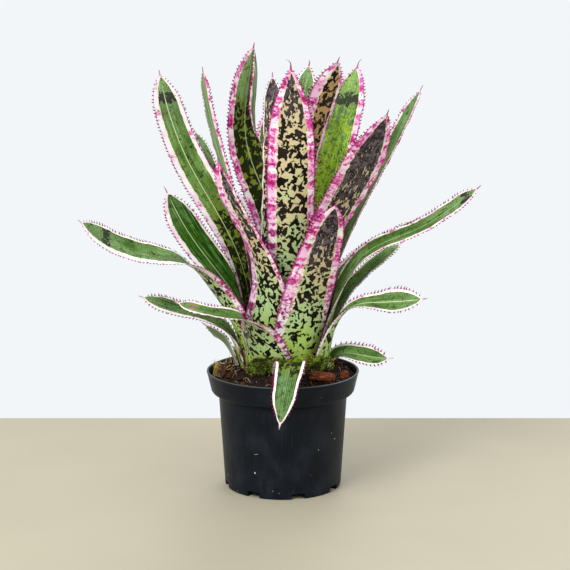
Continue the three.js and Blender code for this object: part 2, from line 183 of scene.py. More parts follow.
def turned(points, azimuth, tilt=0.0, spin=0.0):
    """points turned by spin about X, tilt about Y and azimuth about Z, in radians."""
    for angle, i, j in ((spin, 1, 2), (tilt, 2, 0), (azimuth, 0, 1)):
        c, s = math.cos(angle), math.sin(angle)
        a, b = points[:, i], points[:, j]
        points = points.copy()
        points[:, i] = c * a - s * b
        points[:, j] = s * a + c * b
    return points


# Materials

def srgb(code):
    """A linear colour from a hex code."""
    values = [int(code[i:i + 2], 16) / 255 for i in (1, 3, 5)]
    linear = [v / 12.92 if v <= 0.04045 else ((v + 0.055) / 1.055) ** 2.4 for v in values]
    return (*linear, 1.0)


def feed(tree, socket, value):
    """Links a field to the socket, or sets the socket to a number or a hex colour."""
    if isinstance(value, Field):
        tree.links.new(value.socket, socket)
    elif isinstance(value, str):
        socket.default_value = srgb(value)[:len(socket.default_value)]
    else:
        socket.default_value = value


def add_node(tree, kind, inputs, output=0, **settings):
    """Adds a shader node, feeds its inputs and gives one output as a field."""
    node = tree.nodes.new("ShaderNode" + kind)
    for key, setting in settings.items():
        setattr(node, key, setting)
    for key, value in inputs.items():
        feed(tree, node.inputs[key], value)
    return Field(tree, node.outputs[output])


class Field:
    """A number or colour that changes over the surface: an output of a shader node."""

    def __init__(self, tree, socket):
        self.tree = tree
        self.socket = socket

    def math(self, operation, other=0.0):
        return add_node(self.tree, "Math", {0: self, 1: other}, operation=operation)

    def __add__(self, other):
        return self.math("ADD", other)

    def __sub__(self, other):
        return self.math("SUBTRACT", other)

    def __rsub__(self, other):
        return add_node(self.tree, "Math", {0: other, 1: self}, operation="SUBTRACT")

    def __mul__(self, other):
        return self.math("MULTIPLY", other)

    def __abs__(self):
        return self.math("ABSOLUTE")

    def fade(self, start, end, low=0.0, high=1.0):
        """Goes smoothly from low to high as the field goes from start to end."""
        inputs = {"Value": self, "From Min": start, "From Max": end, "To Min": low, "To Max": high}
        return add_node(self.tree, "MapRange", inputs, interpolation_type="SMOOTHSTEP")

    def blend(self, a, b):
        """The colour a where the field is 0, and b where it is 1."""
        return add_node(self.tree, "Mix", {0: self, 6: a, 7: b}, output=2, data_type="RGBA")

    def brighten(self, colour):
        """The colour made darker or lighter by the field."""
        return add_node(self.tree, "VectorMath", {0: colour, "Scale": self}, operation="SCALE")


def split(vector):
    """The three parts of a vector field."""
    parts = add_node(vector.tree, "SeparateXYZ", {0: vector}).socket.node.outputs
    return tuple(Field(vector.tree, part) for part in parts)


def noise_at(place, scale, detail=2.0, roughness=0.5, distortion=0.0):
    """Noise from 0 to 1 at the place's three parts; its grain is 1 / scale mm along each."""
    tree = place[0].tree
    spot = add_node(tree, "CombineXYZ", {i: place[i] * scale[i] for i in range(3)})
    return add_node(tree, "TexNoise", {"Vector": spot, "Scale": 1.0, "Detail": detail,
                                       "Roughness": roughness, "Distortion": distortion})


class Shader:
    """A new material and the fields that its pattern starts from."""

    def __init__(self, name, roughness=0.5, specular=0.5):
        self.material = bpy.data.materials.new(name)
        self.material.use_nodes = True
        self.tree = self.material.node_tree
        self.surface = self.tree.nodes["Principled BSDF"]
        self.surface.inputs["Roughness"].default_value = roughness
        self.surface.inputs["Specular IOR Level"].default_value = specular

    def attribute(self, name):
        """The three parts of a mesh attribute."""
        return split(add_node(self.tree, "Attribute", {}, "Vector", attribute_name=name))

    def position(self):
        """The place on the object, in millimetres."""
        place = add_node(self.tree, "TexCoord", {}, "Object")
        return split(add_node(self.tree, "VectorMath", {0: place, "Scale": 1 / MM}, operation="SCALE"))

    def finish(self, colour, roughness=None, height=None, strength=0.5, distance=0.3):
        """Wires the colour, the roughness and a bump of the given height in mm."""
        wires = {"Base Color": colour}
        if roughness is not None:
            wires["Roughness"] = roughness
        if height is not None:
            inputs = {"Strength": strength, "Distance": distance * MM, "Height": height}
            wires["Normal"] = add_node(self.tree, "Bump", inputs)
        for name, field in wires.items():
            feed(self.tree, self.surface.inputs[name], field)
        return self.material


def leaf_material():
    """One material for all leaves: the pattern runs in each leaf's own coordinates."""
    m = Shader("leaf", roughness=0.42, specular=0.09)
    across, along, rim = m.attribute("leaf_place")
    share, height, under = m.attribute("leaf_spread")
    pink, gloom, slate = m.attribute("leaf_look")
    warm, tan, rib = m.attribute("leaf_tone_and_highlight")
    horn, deep, band = m.attribute("leaf_extra")
    plain, dry = m.attribute("leaf_plain")[:2]
    other_side = 37.0
    place = (across, along, under * other_side)

    # The fields that the colours follow: blotches on zigzag cross bands, veins, clouds and flecks
    band_pitch = 7.6
    wander = noise_at(place, (0.08, 0.06, 1), detail=1)
    zigzag = (across + wander * 9).math("PINGPONG", 3.2) * 1.1
    cross = along + zigzag + wander * 26
    banded = (cross * (TURN / band_pitch)).math("SINE")
    blotches = noise_at(place, (0.2, 0.185, 1), roughness=0.42, distortion=0.9)
    frayed = noise_at(place, (0.9, 0.75, 1), roughness=0.6)
    value = blotches + banded * 0.05 + (frayed - 0.5) * 0.2
    streaks = noise_at(place, (0.42, 0.13, 1), detail=2.5, roughness=0.55)
    veins = noise_at(place, (1.3, 0.025, 1))
    clouds = noise_at(place, (0.07, 0.035, 1), detail=1.5)
    flecks = noise_at(place, (1, 0.8, 1), detail=3, roughness=0.7)

    under_face = leaf_under_face(height, slate, tan, value, streaks, veins, clouds, flecks)
    under_face = plain.blend(under_face, veins.fade(0.35, 0.65).blend("#4d6636", "#8ea17c"))
    upper_look = (warm, gloom, deep, rib, band, dry)
    upper_face = leaf_upper_face(across, height, upper_look, blotches, value, veins, clouds, flecks)
    margin = leaf_margin(across, along, rim, share, height, pink, flecks)

    # The body meets the margin along a slightly frayed line
    body = under.blend(upper_face, under_face)
    fray = noise_at(place, (0.05, 0.22, 1))
    bordered = (rim + (fray - 0.5) * 0.5).fade(0.95, 1, 1, 0)
    colour = bordered.blend(body, margin)
    colour = (height.fade(0.97, 0.99) * pink.fade(0, 0.6, 0.3, 0.8)).blend(colour, "#8a2850")
    stained = height.fade(0, 0.07, 0.75, 0) * flecks.fade(0.35, 0.6)
    colour = stained.blend(colour, "#4c4222")
    colour = horn.blend(colour, rim.fade(0, 0.8).blend("#8e2458", "#2c0818"))

    rough = flecks.fade(0.3, 0.7, 0.33, 0.5) + height.fade(slate - 0.1, slate) * (under * 0.16)
    return m.finish(colour, rough, veins * 0.7 + flecks * 0.3, strength=0.55, distance=0.25)


def leaf_under_face(height, slate, tan, value, streaks, veins, clouds, flecks):
    """Lime sheath, then pale green and cream with brown-black blotches, then scurfy slate."""
    ground = (height + clouds * 0.7).fade(0.72, 0.98).blend("#a9c287", "#c3b48a")
    ground = (height + clouds * 0.3).fade(0.28, 0.45).blend("#9fbf52", ground)
    ground = (veins.fade(0.55, 0.75) * 0.3).blend(ground, "#ece6bd")
    ground = tan.blend(ground, flecks.fade(0.4, 0.65).blend("#8a6430", "#c9a468"))
    zone = (height + (clouds - 0.5) * 0.3).fade(slate - 0.1, slate + 0.22)
    ground = (zone * 0.6).blend(ground, "#a3958a")
    top_zone = height.fade(slate + 0.1, slate + 0.35)
    level = height.fade(0.05, 0.42, 0.585, 0.495) - (zone * 0.06 + top_zone * 0.09)
    streaked = value * zone.fade(0, 0.7, 1, 0.35) + streaks * zone.fade(0, 0.7, 0, 0.65)
    blotch = streaked.fade(level - 0.014, level + 0.014)
    dark = clouds.fade(0.35, 0.65).blend("#0d0907", "#221b16")
    scurf = (value * 0.6 + flecks * 0.4).fade(0.45, 0.6)
    slated = (flecks.fade(0.56, 0.7) * 0.5).blend(scurf.blend("#251e20", "#655b5f"), "#a0969a")
    return blotch.blend(ground, zone.blend(dark, slated))


def leaf_upper_face(across, height, look, blotches, value, veins, clouds, flecks):
    """Streaked green with painted sheen streaks, clouded near-black towards the base, and on some leaves a
    painted highlight along the midrib fold.
    """
    warm, gloom, deep, rib, band, dry = look
    green = clouds.fade(0.38, 0.62).blend("#40602d", "#648650")
    green = deep.blend(green, veins.fade(0.4, 0.6).blend("#183c08", "#3c6c1a"))
    sunny = clouds.fade(0.4, 0.6).blend("#86ad24", "#a9cc38")
    sunlit = (blotches + height.fade(0.85, 0.6, 0, 0.1)).fade(0.42, 0.56)
    green = (warm * sunlit).blend(green, sunny)
    green = (height.fade(0.75, 0.98, 0, 0.5) * (1 - deep * 0.6)).blend(green, "#8fae76")
    green = veins.fade(0.3, 0.6, 0.66, 1.1).brighten(green)
    # Painted sheen: pale grey-green streaks along the veins stand in for the glossy highlights on the leaves
    sheen_streaks = veins.fade(0.56, 0.72) * flecks.fade(0.35, 0.6)
    green = (sheen_streaks * 0.45).blend(green, "#b9cca2")
    dim = (height + (clouds - 0.5) * 0.25).fade(gloom - 0.14, gloom + 0.1, 1, 0)
    level = dim.fade(0, 1, 0.72, 0.425)
    cloud = value.fade(level - 0.03, level + 0.03)
    face = (cloud * 0.95).blend((dim * 0.8).blend(green, "#737b26"), "#0c0b06")
    freckle = (flecks * 0.55 + blotches * 0.45).fade(0.5, 0.58)
    face = (freckle * 0.7).blend(face, "#1d3014")
    ragged = height + (value - 0.5) * 0.08
    crossing = abs(ragged - band).fade(0.014, 0.02, 1, 0) * value.fade(0.28, 0.34)
    face = (crossing * 0.9).blend(face, "#262023")
    faded = abs(ragged - dry) + (clouds - 0.5) * 0.08
    withered = faded.fade(0, 0.05, 1, 0) * flecks.fade(0.35, 0.6, 0.35, 0.95)
    face = withered.blend(face, veins.fade(0.35, 0.65).blend("#6a4a3a", "#a08468"))
    # Painted highlight: a pale line along the midrib, standing in for the light caught where the blade folds
    highlight_line = abs(across).fade(0.15, 0.6, 1, 0) * rib
    highlight_line = highlight_line * (height.fade(0.9, 0.97, 1, 0) * height.fade(0.15, 0.35))
    return highlight_line.blend(face, "#c4d29c")


def leaf_margin(across, along, rim, share, height, pink, flecks):
    """White to pale pink with broad magenta bands, a cream inner line and a crimson edge."""
    half = share.math("SIGN")
    lilac = noise_at((half, along, 3.0), (9, 0.05, 1), detail=1).fade(0.4, 0.6)
    ground = (lilac * pink.fade(0, 0.8, 0.1, 0.9)).blend("#efe8ea", "#e8b0d8")
    bands = noise_at((half, along, 7.0), (9, 0.085, 1), roughness=0.6)
    specks = noise_at((across, along, half), (0.3, 0.34, 1), detail=2.5, roughness=0.6, distortion=0.5)
    mottle = bands * 0.55 + specks * 0.45
    level = pink.fade(0, 1, 0.6, 0.48)
    rosy = mottle.fade(level - 0.035, level + 0.05)
    colour = rosy.blend(ground, height.fade(0.25, 0.6).blend("#7a2258", "#cf489b"))
    crimson = mottle.fade(level + 0.05, level + 0.12) * pink.fade(0.2, 0.8, 0.3, 0.9)
    colour = crimson.blend(colour, "#86184f")
    colour = (rim.fade(0.72, 0.84) * rosy.fade(0, 1, 0.75, 0.25)).blend(colour, "#dcdfb4")
    edge = rim.fade(0.08, 0.2, 1, 0) * pink.fade(0, 0.7, 0.35, 0.75)
    colour = edge.blend(colour, "#a03370")
    return (flecks.fade(0.62, 0.75) * 0.25).blend(colour, "#7a4a60")


def pot_material():
    """Black moulded plastic with fine upright scuffs, a little dust, rare specks and a painted highlight
    along the top of the lip.
    """
    m = Shader("pot_plastic", roughness=0.4, specular=0.12)
    x, y, z = place = m.position()
    wall_radius = 52.0
    wall = (y.math("ARCTAN2", x) * wall_radius, z, 0.0)
    scuffs = noise_at(wall, (0.9, 0.045, 1), detail=4, roughness=0.65)
    smears = noise_at(wall, (0.05, 0.035, 1), detail=3)
    grain = noise_at(place, (1.6, 1.6, 1.6), detail=3)
    specks = noise_at(place, (0.45, 0.45, 0.45), detail=0)
    colour = smears.fade(0.35, 0.7).blend("#0a0f16", "#141a23")
    colour = (scuffs.fade(0.56, 0.74) * 0.4).blend(colour, "#34373a")
    dust = smears.fade(0.5, 0.72) * grain.fade(0.45, 0.65)
    colour = (dust * 0.2).blend(colour, "#4f4a42")
    colour = specks.fade(0.86, 0.87).blend(colour, "#c8ccd0")
    # Painted highlight: the top of the lip is lightened to a pale blue-grey, for the light that its edge
    # catches
    lip_highlight = z.fade(99.6, 100.3)
    colour = (lip_highlight * 0.5).blend(colour, "#5f686c")
    rough = scuffs.fade(0.3, 0.8, 0.34, 0.6) + dust * 0.2
    return m.finish(colour, rough, grain * 0.35 + scuffs * 0.65, strength=0.35, distance=0.2)


def mix_material():
    """Damp dark peat and fine bark."""
    m = Shader("potting_mix", roughness=0.85, specular=0.25)
    place = m.position()
    lumps = noise_at(place, (0.35, 0.35, 0.35), detail=4, roughness=0.65)
    grit = noise_at(place, (1.4, 1.4, 1.4), detail=4, roughness=0.7)
    colour = lumps.fade(0.35, 0.7).blend("#0b0604", "#261610")
    colour = (grit.fade(0.6, 0.75) * 0.5).blend(colour, "#553422")
    return m.finish(colour, grit.fade(0.3, 0.7, 0.7, 0.95), lumps + grit, 0.8, 0.8)


def crumb_material(name, dark, light, roughness=0.9):
    """Small loose pieces: each has a tint of its own between dark and light."""
    m = Shader(name, roughness=roughness, specular=0.25)
    grain = noise_at(m.position(), (1.1, 1.1, 1.1), detail=3)
    tint = m.attribute("tint")[0]
    colour = (tint * 0.75 + grain * 0.4).fade(0.1, 1).blend(dark, light)
    return m.finish(colour, None, grain, strength=0.6)


def bark_material(name, dark, middle, light, grain_scale):
    """Layered bark or fibre, its grain running along the piece's own length."""
    m = Shader(name, roughness=0.85, specular=0.25)
    place = m.attribute("grain")
    layers = noise_at(place, grain_scale, detail=4, roughness=0.65)
    pits = noise_at(place, (0.5, 0.5, 0.5), detail=3)
    colour = layers.fade(0.3, 0.55).blend(dark, middle)
    colour = layers.fade(0.55, 0.75).blend(colour, light)
    colour = (pits.fade(0.55, 0.7) * 0.6).blend(colour, dark)
    return m.finish(colour, None, layers + pits * 0.5, strength=0.8, distance=0.8)


def moss_material():
    """Each leaflet has its own green, from dark to yellow-green, and some are brown."""
    m = Shader("moss", roughness=0.75, specular=0.2)
    bright, dry = m.attribute("tint")[:2]
    patches = noise_at(m.position(), (0.16, 0.16, 0.16), detail=1)
    colour = (bright * 0.75 + (patches - 0.4) * 1.3).fade(0.1, 0.95).blend("#161f07", "#a3bf3c")
    colour = (dry.fade(0.72, 0.8) * patches.fade(0.6, 0.4)).blend(colour, "#5d3a1c")
    return m.finish(colour, None, patches, strength=0.3)


def table_material():
    """The table's even finish, with only a breath of mottling."""
    m = Shader("table_top", roughness=0.6, specular=0.2)
    mottle = noise_at(m.position(), (0.006, 0.006, 0.006))
    return m.finish(mottle.fade(0.3, 0.7, 0.97, 1.03).brighten("#a59e8a"))


# Leaves: the same form and the same figures as the CAD leaves, in finer steps

LEAF_HALF_THICKNESS = 0.45
LEAF_EDGE_HALF_THICKNESS = 0.28
TIP_THINNING = 0.45
CUSP_LENGTH = 4
# The channel's half angles after the first station, where it is the leaf's wrap
PLAIN_CUP = (32, 24, 20, 17, 15)
OUTER_LEAF_RADIUS = 38
OUTER_LEAF_HEIGHT = 97
STEM_SLOPE = 0.7
MARGIN_SHARE = 0.16
ROW_STEP = 1.5
TIP_ROWS = 34
CUSP_ROWS = 6
COLUMNS = 24
KEEL_DEPTH = 0.32
KEEL_HALF_WIDTH = 1.4
BROAD_RUFFLE = 0.55
FINE_RUFFLE = 0.2
SOFT_WAVE = 0.25
SPINE_PITCH = 3.0
SPINE_LENGTH = 2.3
SPINE_SIDES = 5
SPINE_RINGS = ((-0.18, 1.0), (0.3, 0.6), (0.68, 0.3))
SPINE_THICKNESS = 0.24
FIRST_SPINE = 6
LAST_SPINE_GAP = 2
# How much of the thorns' dark colour the thorns and the tip hairs take
HORN = 1.0
HAIR = 0.75
HAIR_STEPS = 9
HAIR_ROOT = 1.2
HAIR_RADII = (0.42, 0.1)
HAIR_SIDES = 6
HAIR_SHARE = 0.999
LEAF_SEED = 100
PATTERN_SHIFT = 1000.0

# The look figures. pink: how much magenta its margins carry. gloom: how far up the upper face is
# dark. slate: from where the under face is slate grey. warm: how yellow its green is. tan: how
# golden brown its pattern is. rib: how strong the painted highlight along the midrib
# fold is. deep: how dark the green is.
# band: where a dark line crosses the upper face. margins: the two margins' widths against the
# usual one. spines: their length against the usual one. tail: the tip hair's length in mm and its
# curl. curl: how far the first margin rolls in near the tip. plain: 1 for an under face without a
# pattern. flare: how much wider the first margin gets above the middle. dry: where a withered
# brown patch crosses the upper face. blush: how much more magenta the margins carry low down.
PLAIN_LEAF = dict(sway=(0,), roll=(0,), taper=1.15,
                  pink=0.6, gloom=0.3, slate=0.85, warm=0.1, tan=0.0, rib=0.1, deep=0.2, band=2.0,
                  margins=(1.0, 1.0), spines=1.0, tail=(0.6, 0.1), curl=0.0, plain=0.0, flare=0.0,
                  dry=2.0, blush=0.0)


def leaf(name, azimuth, radius, length, wrap, widths, rise, **rest):
    """A leaf's figures, in degrees and mm. What a leaf doesn't state is as in PLAIN_LEAF.

    azimuth, radius and height: where its base stands. wrap: half the angle that its base clasps.
    The other figures are lists at even stations to the tip. widths: the blade's. rise: how steeply
    the midrib climbs. sway: how far it turns off the azimuth. roll: the blade's turn about it.
    cup: half the angle of the channel's arc. taper: the tip's length against the last width.
    """
    height = OUTER_LEAF_HEIGHT + (OUTER_LEAF_RADIUS - radius) * STEM_SLOPE
    base_width = 2 * radius * math.radians(wrap)
    usual = dict(PLAIN_LEAF, height=height, cup=(wrap, *PLAIN_CUP))
    return dict(usual, name="leaf_" + name, azimuth=azimuth, radius=radius, length=length,
                widths=(base_width, *widths), rise=rise, **rest)


LEAVES = [
    leaf("front_drooping", -84, 40.5, 94, 20, (27, 24, 22, 21, 20), (68, 42, -12, -60, -74, -76),
         height=100, sway=(0, 0, -9, -28, -42, -48), cup=(20, 20, 12, 10, 8, 8),
         pink=0.05, gloom=0.5, margins=(0.65, 0.7), warm=0.0, rib=0.15, deep=0.3),
    leaf("front_right", -62, 30.2, 166, 46, (51, 47, 40, 31, 26), (82, 78, 69, 64, 62, 60),
         roll=(0, 0, -5, -10, -12, -12), cup=(46, 36, 26, 18, 15, 12),
         pink=0.8, slate=0.6, margins=(1.6, 1.2)),
    leaf("front_left", -114, 28.6, 192, 50, (53, 42, 27, 24, 23), (87, 86, 80, 64, 64, 88),
         sway=(0, 0, -28, -46, -52, -52), roll=(0, 0, 5, 20, 25, 25), cup=(50, 34, 24, 18, 14, 12),
         pink=0.8, slate=0.66, margins=(1.9, 0.7), flare=0.8),
    leaf("front_centre", -75, 21, 256, 44, (39, 39, 40, 37, 30), (88, 85, 83, 81, 80, 80), taper=2,
         sway=(0, -10, -12, -14, -16, -16), cup=(44, 38, 26, 17, 13, 12),
         pink=0.9, slate=0.84, margins=(1.4, 1.0), tail=(5, -0.3)),
    leaf("front_folded", -108, 37.5, 128, 28, (50, 47, 25, 14, 9), (71, 65, 63, 15, 14, 14),
         sway=(0, -20, -26, -51, -75, -96), roll=(0, 0, -3, -12, -26, -45), cup=(28, 34, 28, 22, 18, 15),
         pink=0.25, gloom=0.15, margins=(0.7, 1.0), deep=0.6, tail=(3.5, -0.4), dry=0.87, blush=0.75),
    leaf("heart_right", -33, 17, 260, 44, (31, 31, 29, 31, 33), (89, 89, 88, 83, 70, 67), taper=0.9,
         roll=(0, 0, -5, -12, -16, -18), cup=(44, 34, 28, 22, 17, 15),
         pink=0.7, slate=1.3, tan=0.8, margins=(2.1, 0.9), spines=1.25),
    leaf("right_broad", -36, 25.2, 238, 42, (42, 44, 44, 44, 39), (88, 84, 72, 58, 62, 66),
         roll=(0, 0, -8, -15, -17, -12), pink=0.8, slate=0.6, margins=(1.15, 1.35)),
    leaf("right_low", -25, 36.6, 137, 29, (33, 21, 17, 24, 21), (79, 75, 57, 11, 8, 14),
         roll=(0, 5, 20, 45, 50), cup=(29, 26, 34, 32, 25, 20),
         pink=0.35, gloom=0.2, margins=(0.8, 0.8), rib=0.9, deep=0.15, spines=1.2),
    leaf("right_long", -8, 32.2, 222, 34, (34, 27, 20, 19, 17), (80, 76, 60, 23, 34, 42),
         roll=(0, 8, 20, 30, 34, 34),
         pink=0.5, gloom=0.15, margins=(1.0, 0.6), rib=0.35, deep=0.3, band=0.93),
    leaf("right_lowest", -4, 39, 67, 20, (26, 20, 19, 20, 18), (82, 60, 2, -10, -6, 6),
         roll=(0, 10, 40, 45, 45), cup=(20, 40, 35, 25, 18, 15),
         pink=0.2, gloom=0.0, margins=(0.6, 0.7), rib=0.5, deep=0.4, spines=1.2),
    leaf("right_middle", 12, 33.9, 135, 29, (29, 24, 19, 17, 15), (80, 76, 64, 47, 38, 32),
         roll=(0, 5, 12, 18, 20), pink=0.1, gloom=0.15, margins=(0.7, 0.5), rib=0.1, deep=0.3),
    leaf("right_slender", 20, 27, 257, 36, (37, 34, 30, 26, 22), (82, 76, 66, 59, 62, 62),
         cup=(36, 36, 30, 26, 24, 20), pink=0.65, slate=0.8, margins=(1.5, 0.8), rib=0.2, deep=0.5),
    leaf("right_behind", 42, 37, 188, 24, (32, 24, 18, 15, 13), (80, 70, 52, 26, 15, 24),
         pink=0.3, gloom=0.2, margins=(1.3, 1.0), tail=(3, -0.3)),
    leaf("right_tall", 50, 22.4, 263, 28, (36, 40, 42, 40, 36), (84, 80, 72, 65, 68, 68),
         cup=(28, 30, 20, 18, 16, 15), pink=0.75, gloom=0.1, warm=1.0, rib=0.0, deep=0.0, band=0.87,
         margins=(1.25, 0.35), tail=(5, -0.3)),
    leaf("left_tall", 85, 19.8, 272, 36, (32, 34, 36, 35, 31), (89, 89, 74, 69, 95, 100),
         sway=(0, 30, 90, 90, 90, 90), roll=(0, -20, -80, -66, -54, -50),
         pink=0.8, gloom=0.8, warm=0.3, rib=0.6, deep=0.0, margins=(0.35, 1.15), curl=2.8, plain=1.0),
    leaf("left_hidden", 138, 27.5, 214, 13, (17, 16, 15, 14, 12), (84, 80, 74, 60, 60, 48),
         roll=(0, 0, 10, 10, 10), pink=0.2, gloom=0.8, slate=0.3, margins=(0.6, 0.6)),
    leaf("left_edgewise", 151, 21.6, 254, 20, (26, 22, 18, 16, 14), (87, 82, 73, 71, 74, 87),
         roll=(0, 0, 20, 50, 60, 60), pink=0.75, gloom=0.1, margins=(0.5, 1.3), deep=0.1, plain=1.0),
    leaf("left_upper", 155, 26.6, 267, 36, (36, 35, 34, 30, 26), (85, 82, 62, 56, 68, 80),
         roll=(0, -8, -20, -30, -32, -32),
         pink=0.3, gloom=0.52, warm=0.2, rib=0.9, deep=0.15, band=0.91, margins=(0.85, 1.4), blush=0.3),
    leaf("left_middle", 159, 28.8, 171, 34, (34, 33, 32, 30, 27), (84, 75, 54, 49, 57, 65),
         roll=(0, 0, -12, -28, -35, -35),
         pink=0.35, gloom=0.25, warm=0.0, rib=0.75, deep=1.0, margins=(0.45, 1.1), tail=(3, 0.1)),
    leaf("left_lowest", 174, 38.5, 55, 24, (34, 32, 28, 24, 20), (76, 70, 58, 46, 40, 36),
         roll=(0, 5, 20, 35, 42),
         pink=0.1, gloom=0.0, margins=(0.8, 0.45), rib=0.0, deep=0.3, plain=1.0, blush=0.6),
    leaf("left_low", 192, 35.4, 122, 18, (22, 20, 17, 17, 16), (80, 71, 38, 17, 20, 26),
         roll=(0, -10, -30, -40, -40), cup=(18, 34, 30, 22, 18, 15),
         pink=0.15, gloom=0.1, margins=(0.5, 1.3), blush=1.0),
    leaf("left_long", 213, 32.8, 227, 30, (38, 32, 27, 25, 22), (84, 65, 50, 14, 25, 42),
         sway=(0, -16, -16, 0, 5, 14), roll=(5, 15, 16, -27, -46, -56),
         pink=0.12, gloom=0.15, margins=(0.45, 1.5), deep=0.15, band=0.86, blush=0.7),
    leaf("heart_left", -135, 14.5, 240, 46, (30, 32, 30, 28, 24), (89, 90, 92, 92, 90, 88),
         pink=0.35, gloom=0.6, slate=0.75, margins=(0.55, 0.4), tail=(0.2, 0.1)),
    leaf("heart_back", 66, 13.6, 248, 46, (28, 28, 26, 22, 18), (88, 87, 86, 84, 80, 77),
         sway=(0, 0, -5, -15, -25, -30), roll=(0, 0, 5, 15, 25, 30),
         pink=0.45, margins=(0.7, 0.7), rib=0.4, tail=(1.5, 0.2)),
    leaf("heart_young_left", 185, 7.6, 152, 58, (16, 16, 15, 14, 12), (90, 90, 89, 88, 88),
         warm=0.8, deep=0.0),
    leaf("heart_young_right", 5, 6.6, 128, 58, (15, 15, 14, 12, 10), (90, 90, 90, 88, 87),
         warm=0.9, deep=0.0),
    leaf("back_inner_right", 66, 24.6, 232, 34, (36, 34, 32, 30, 28), (84, 79, 72, 65, 62, 62)),
    leaf("back_outer_right", 74, 33, 190, 30, (36, 32, 30, 28, 24), (79, 74, 64, 54, 48, 46),
         pink=0.4, rib=0.5),
    leaf("back_middle", 93, 30.5, 225, 34, (38, 34, 32, 30, 26), (82, 77, 67, 58, 54, 54),
         pink=0.5, rib=0.4, deep=0.5),
    leaf("back_inner_left", 102, 20.8, 215, 22, (24, 22, 22, 22, 20), (88, 84, 78, 71, 69, 70),
         pink=0.7, gloom=0.5),
    leaf("back_outer_left", 113, 35.5, 185, 32, (36, 32, 30, 28, 24), (76, 70, 58, 46, 42, 40),
         pink=0.35, rib=0.5, deep=0.4),
]


def track(values, s):
    """Smooth values at s = 0 to 1 through evenly spaced stations."""
    v = np.asarray(values, float)
    if len(v) == 1:
        return np.full_like(s, v[0])
    last = len(v) - 1
    x = np.clip(s, 0, 1) * last
    i = np.minimum(x.astype(int), last - 1)
    t = x - i
    padded = np.concatenate([[2 * v[0] - v[1]], v, [2 * v[-1] - v[-2]]])
    p0, p1, p2, p3 = (padded[i + k] for k in range(4))
    return 0.5 * (2 * p1 + (p2 - p0) * t + (2 * p0 - 5 * p1 + 4 * p2 - p3) * t ** 2
                  + (3 * p1 - p0 - 3 * p2 + p3) * t ** 3)


class LeafForm:
    """A leaf's midrib, its frames and its sections at the rows s."""

    def __init__(self, figures):
        self.figures = figures
        self.length = figures["length"]
        self.blade_end = 1 - CUSP_LENGTH / self.length
        taper_start = self.blade_end - figures["taper"] * figures["widths"][-1] / self.length
        body = np.linspace(0, taper_start, round(taper_start * self.length / ROW_STEP))
        tip = 1 - (1 - np.linspace(0, 1, TIP_ROWS)[1:]) ** 1.5
        cusp = np.linspace(self.blade_end, 1, CUSP_ROWS)[1:]
        self.s = np.concatenate([body, taper_start + tip * (self.blade_end - taper_start), cusp])
        self.along, self.across, self.upper = self.frames(self.s)
        self.midrib = self.walk()
        self.full = track(figures["widths"], self.s) / 2
        t = np.clip((self.s - taper_start) / (self.blade_end - taper_start), 0, 1)
        cusp_share = np.clip((self.s - self.blade_end) / (1 - self.blade_end), 0, 1)
        self.half = np.maximum(self.full * (1 - t ** 1.9) ** 0.78, 0.35 + 0.5 * (1 - cusp_share))
        even = np.linspace(-1, 1, COLUMNS + 1)
        self.shares = np.sign(even) * (1 - (1 - np.abs(even)) ** 1.3)
        self.section()

    def frames(self, s):
        """The directions along the midrib, across the blade and out of its upper face."""
        rise, turn, roll = (np.radians(track(self.figures[key], s)) for key in ("rise", "sway", "roll"))
        heading = np.radians(self.figures["azimuth"]) + turn
        roll = roll[:, None]
        along = np.stack([np.cos(rise) * np.cos(heading), np.cos(rise) * np.sin(heading), np.sin(rise)], -1)
        level = np.stack([-np.sin(heading), np.cos(heading), np.zeros_like(s)], -1)
        across = np.cos(roll) * level + np.sin(roll) * np.cross(along, level)
        return along, across, np.cross(along, across)

    def walk(self):
        """The midrib's points, walked from the base to the tip."""
        azimuth = math.radians(self.figures["azimuth"])
        radius = self.figures["radius"]
        base = np.array([radius * math.cos(azimuth), radius * math.sin(azimuth), self.figures["height"]])
        middles = (self.s[1:] + self.s[:-1]) / 2
        steps = self.frames(middles)[0] * (np.diff(self.s) * self.length)[:, None]
        return base + np.concatenate([np.zeros((1, 3)), np.cumsum(steps, axis=0)])

    def section(self):
        """The sections' slopes and places, walked outwards from the midrib to both margins.

        The figure curl is how many radians more the first margin rolls in, over the upper third.
        """
        cup = np.radians(track(self.figures["cup"], self.s))
        bend = self.full / cup
        self.slope = self.shares[None, :] * (self.half / bend)[:, None]
        rolled = np.clip((-self.shares - 0.35) / 0.3, 0, 1)
        self.slope -= self.figures["curl"] * ramp(self.s, 0.5, 0.85)[:, None] * rolled[None, :]
        self.sideways = self.walk_across(np.cos(self.slope))
        self.upwards = self.walk_across(np.sin(self.slope))

    def walk_across(self, rate):
        steps = (rate[:, 1:] + rate[:, :-1]) / 2 * np.diff(self.shares)[None, :] * self.half[:, None]
        total = np.concatenate([np.zeros((len(self.s), 1)), np.cumsum(steps, axis=1)], axis=1)
        return total - total[:, COLUMNS // 2][:, None]

    def points(self, offset):
        """Points of every row, moved out of the upper face by offset."""
        sideways = self.sideways - np.sin(self.slope) * offset
        upwards = self.upwards + np.cos(self.slope) * offset
        return (self.midrib[:, None] + self.across[:, None] * sideways[..., None]
                + self.upper[:, None] * upwards[..., None])

    def edge(self, row, side):
        """The edge point of a row, its outward direction and its normal."""
        column = 0 if side < 0 else COLUMNS
        c, s = math.cos(self.slope[row, column]), math.sin(self.slope[row, column])
        across, upper = self.across[row], self.upper[row]
        point = (self.midrib[row] + across * self.sideways[row, column]
                 + upper * self.upwards[row, column])
        return point, side * (across * c + upper * s), upper * c - across * s


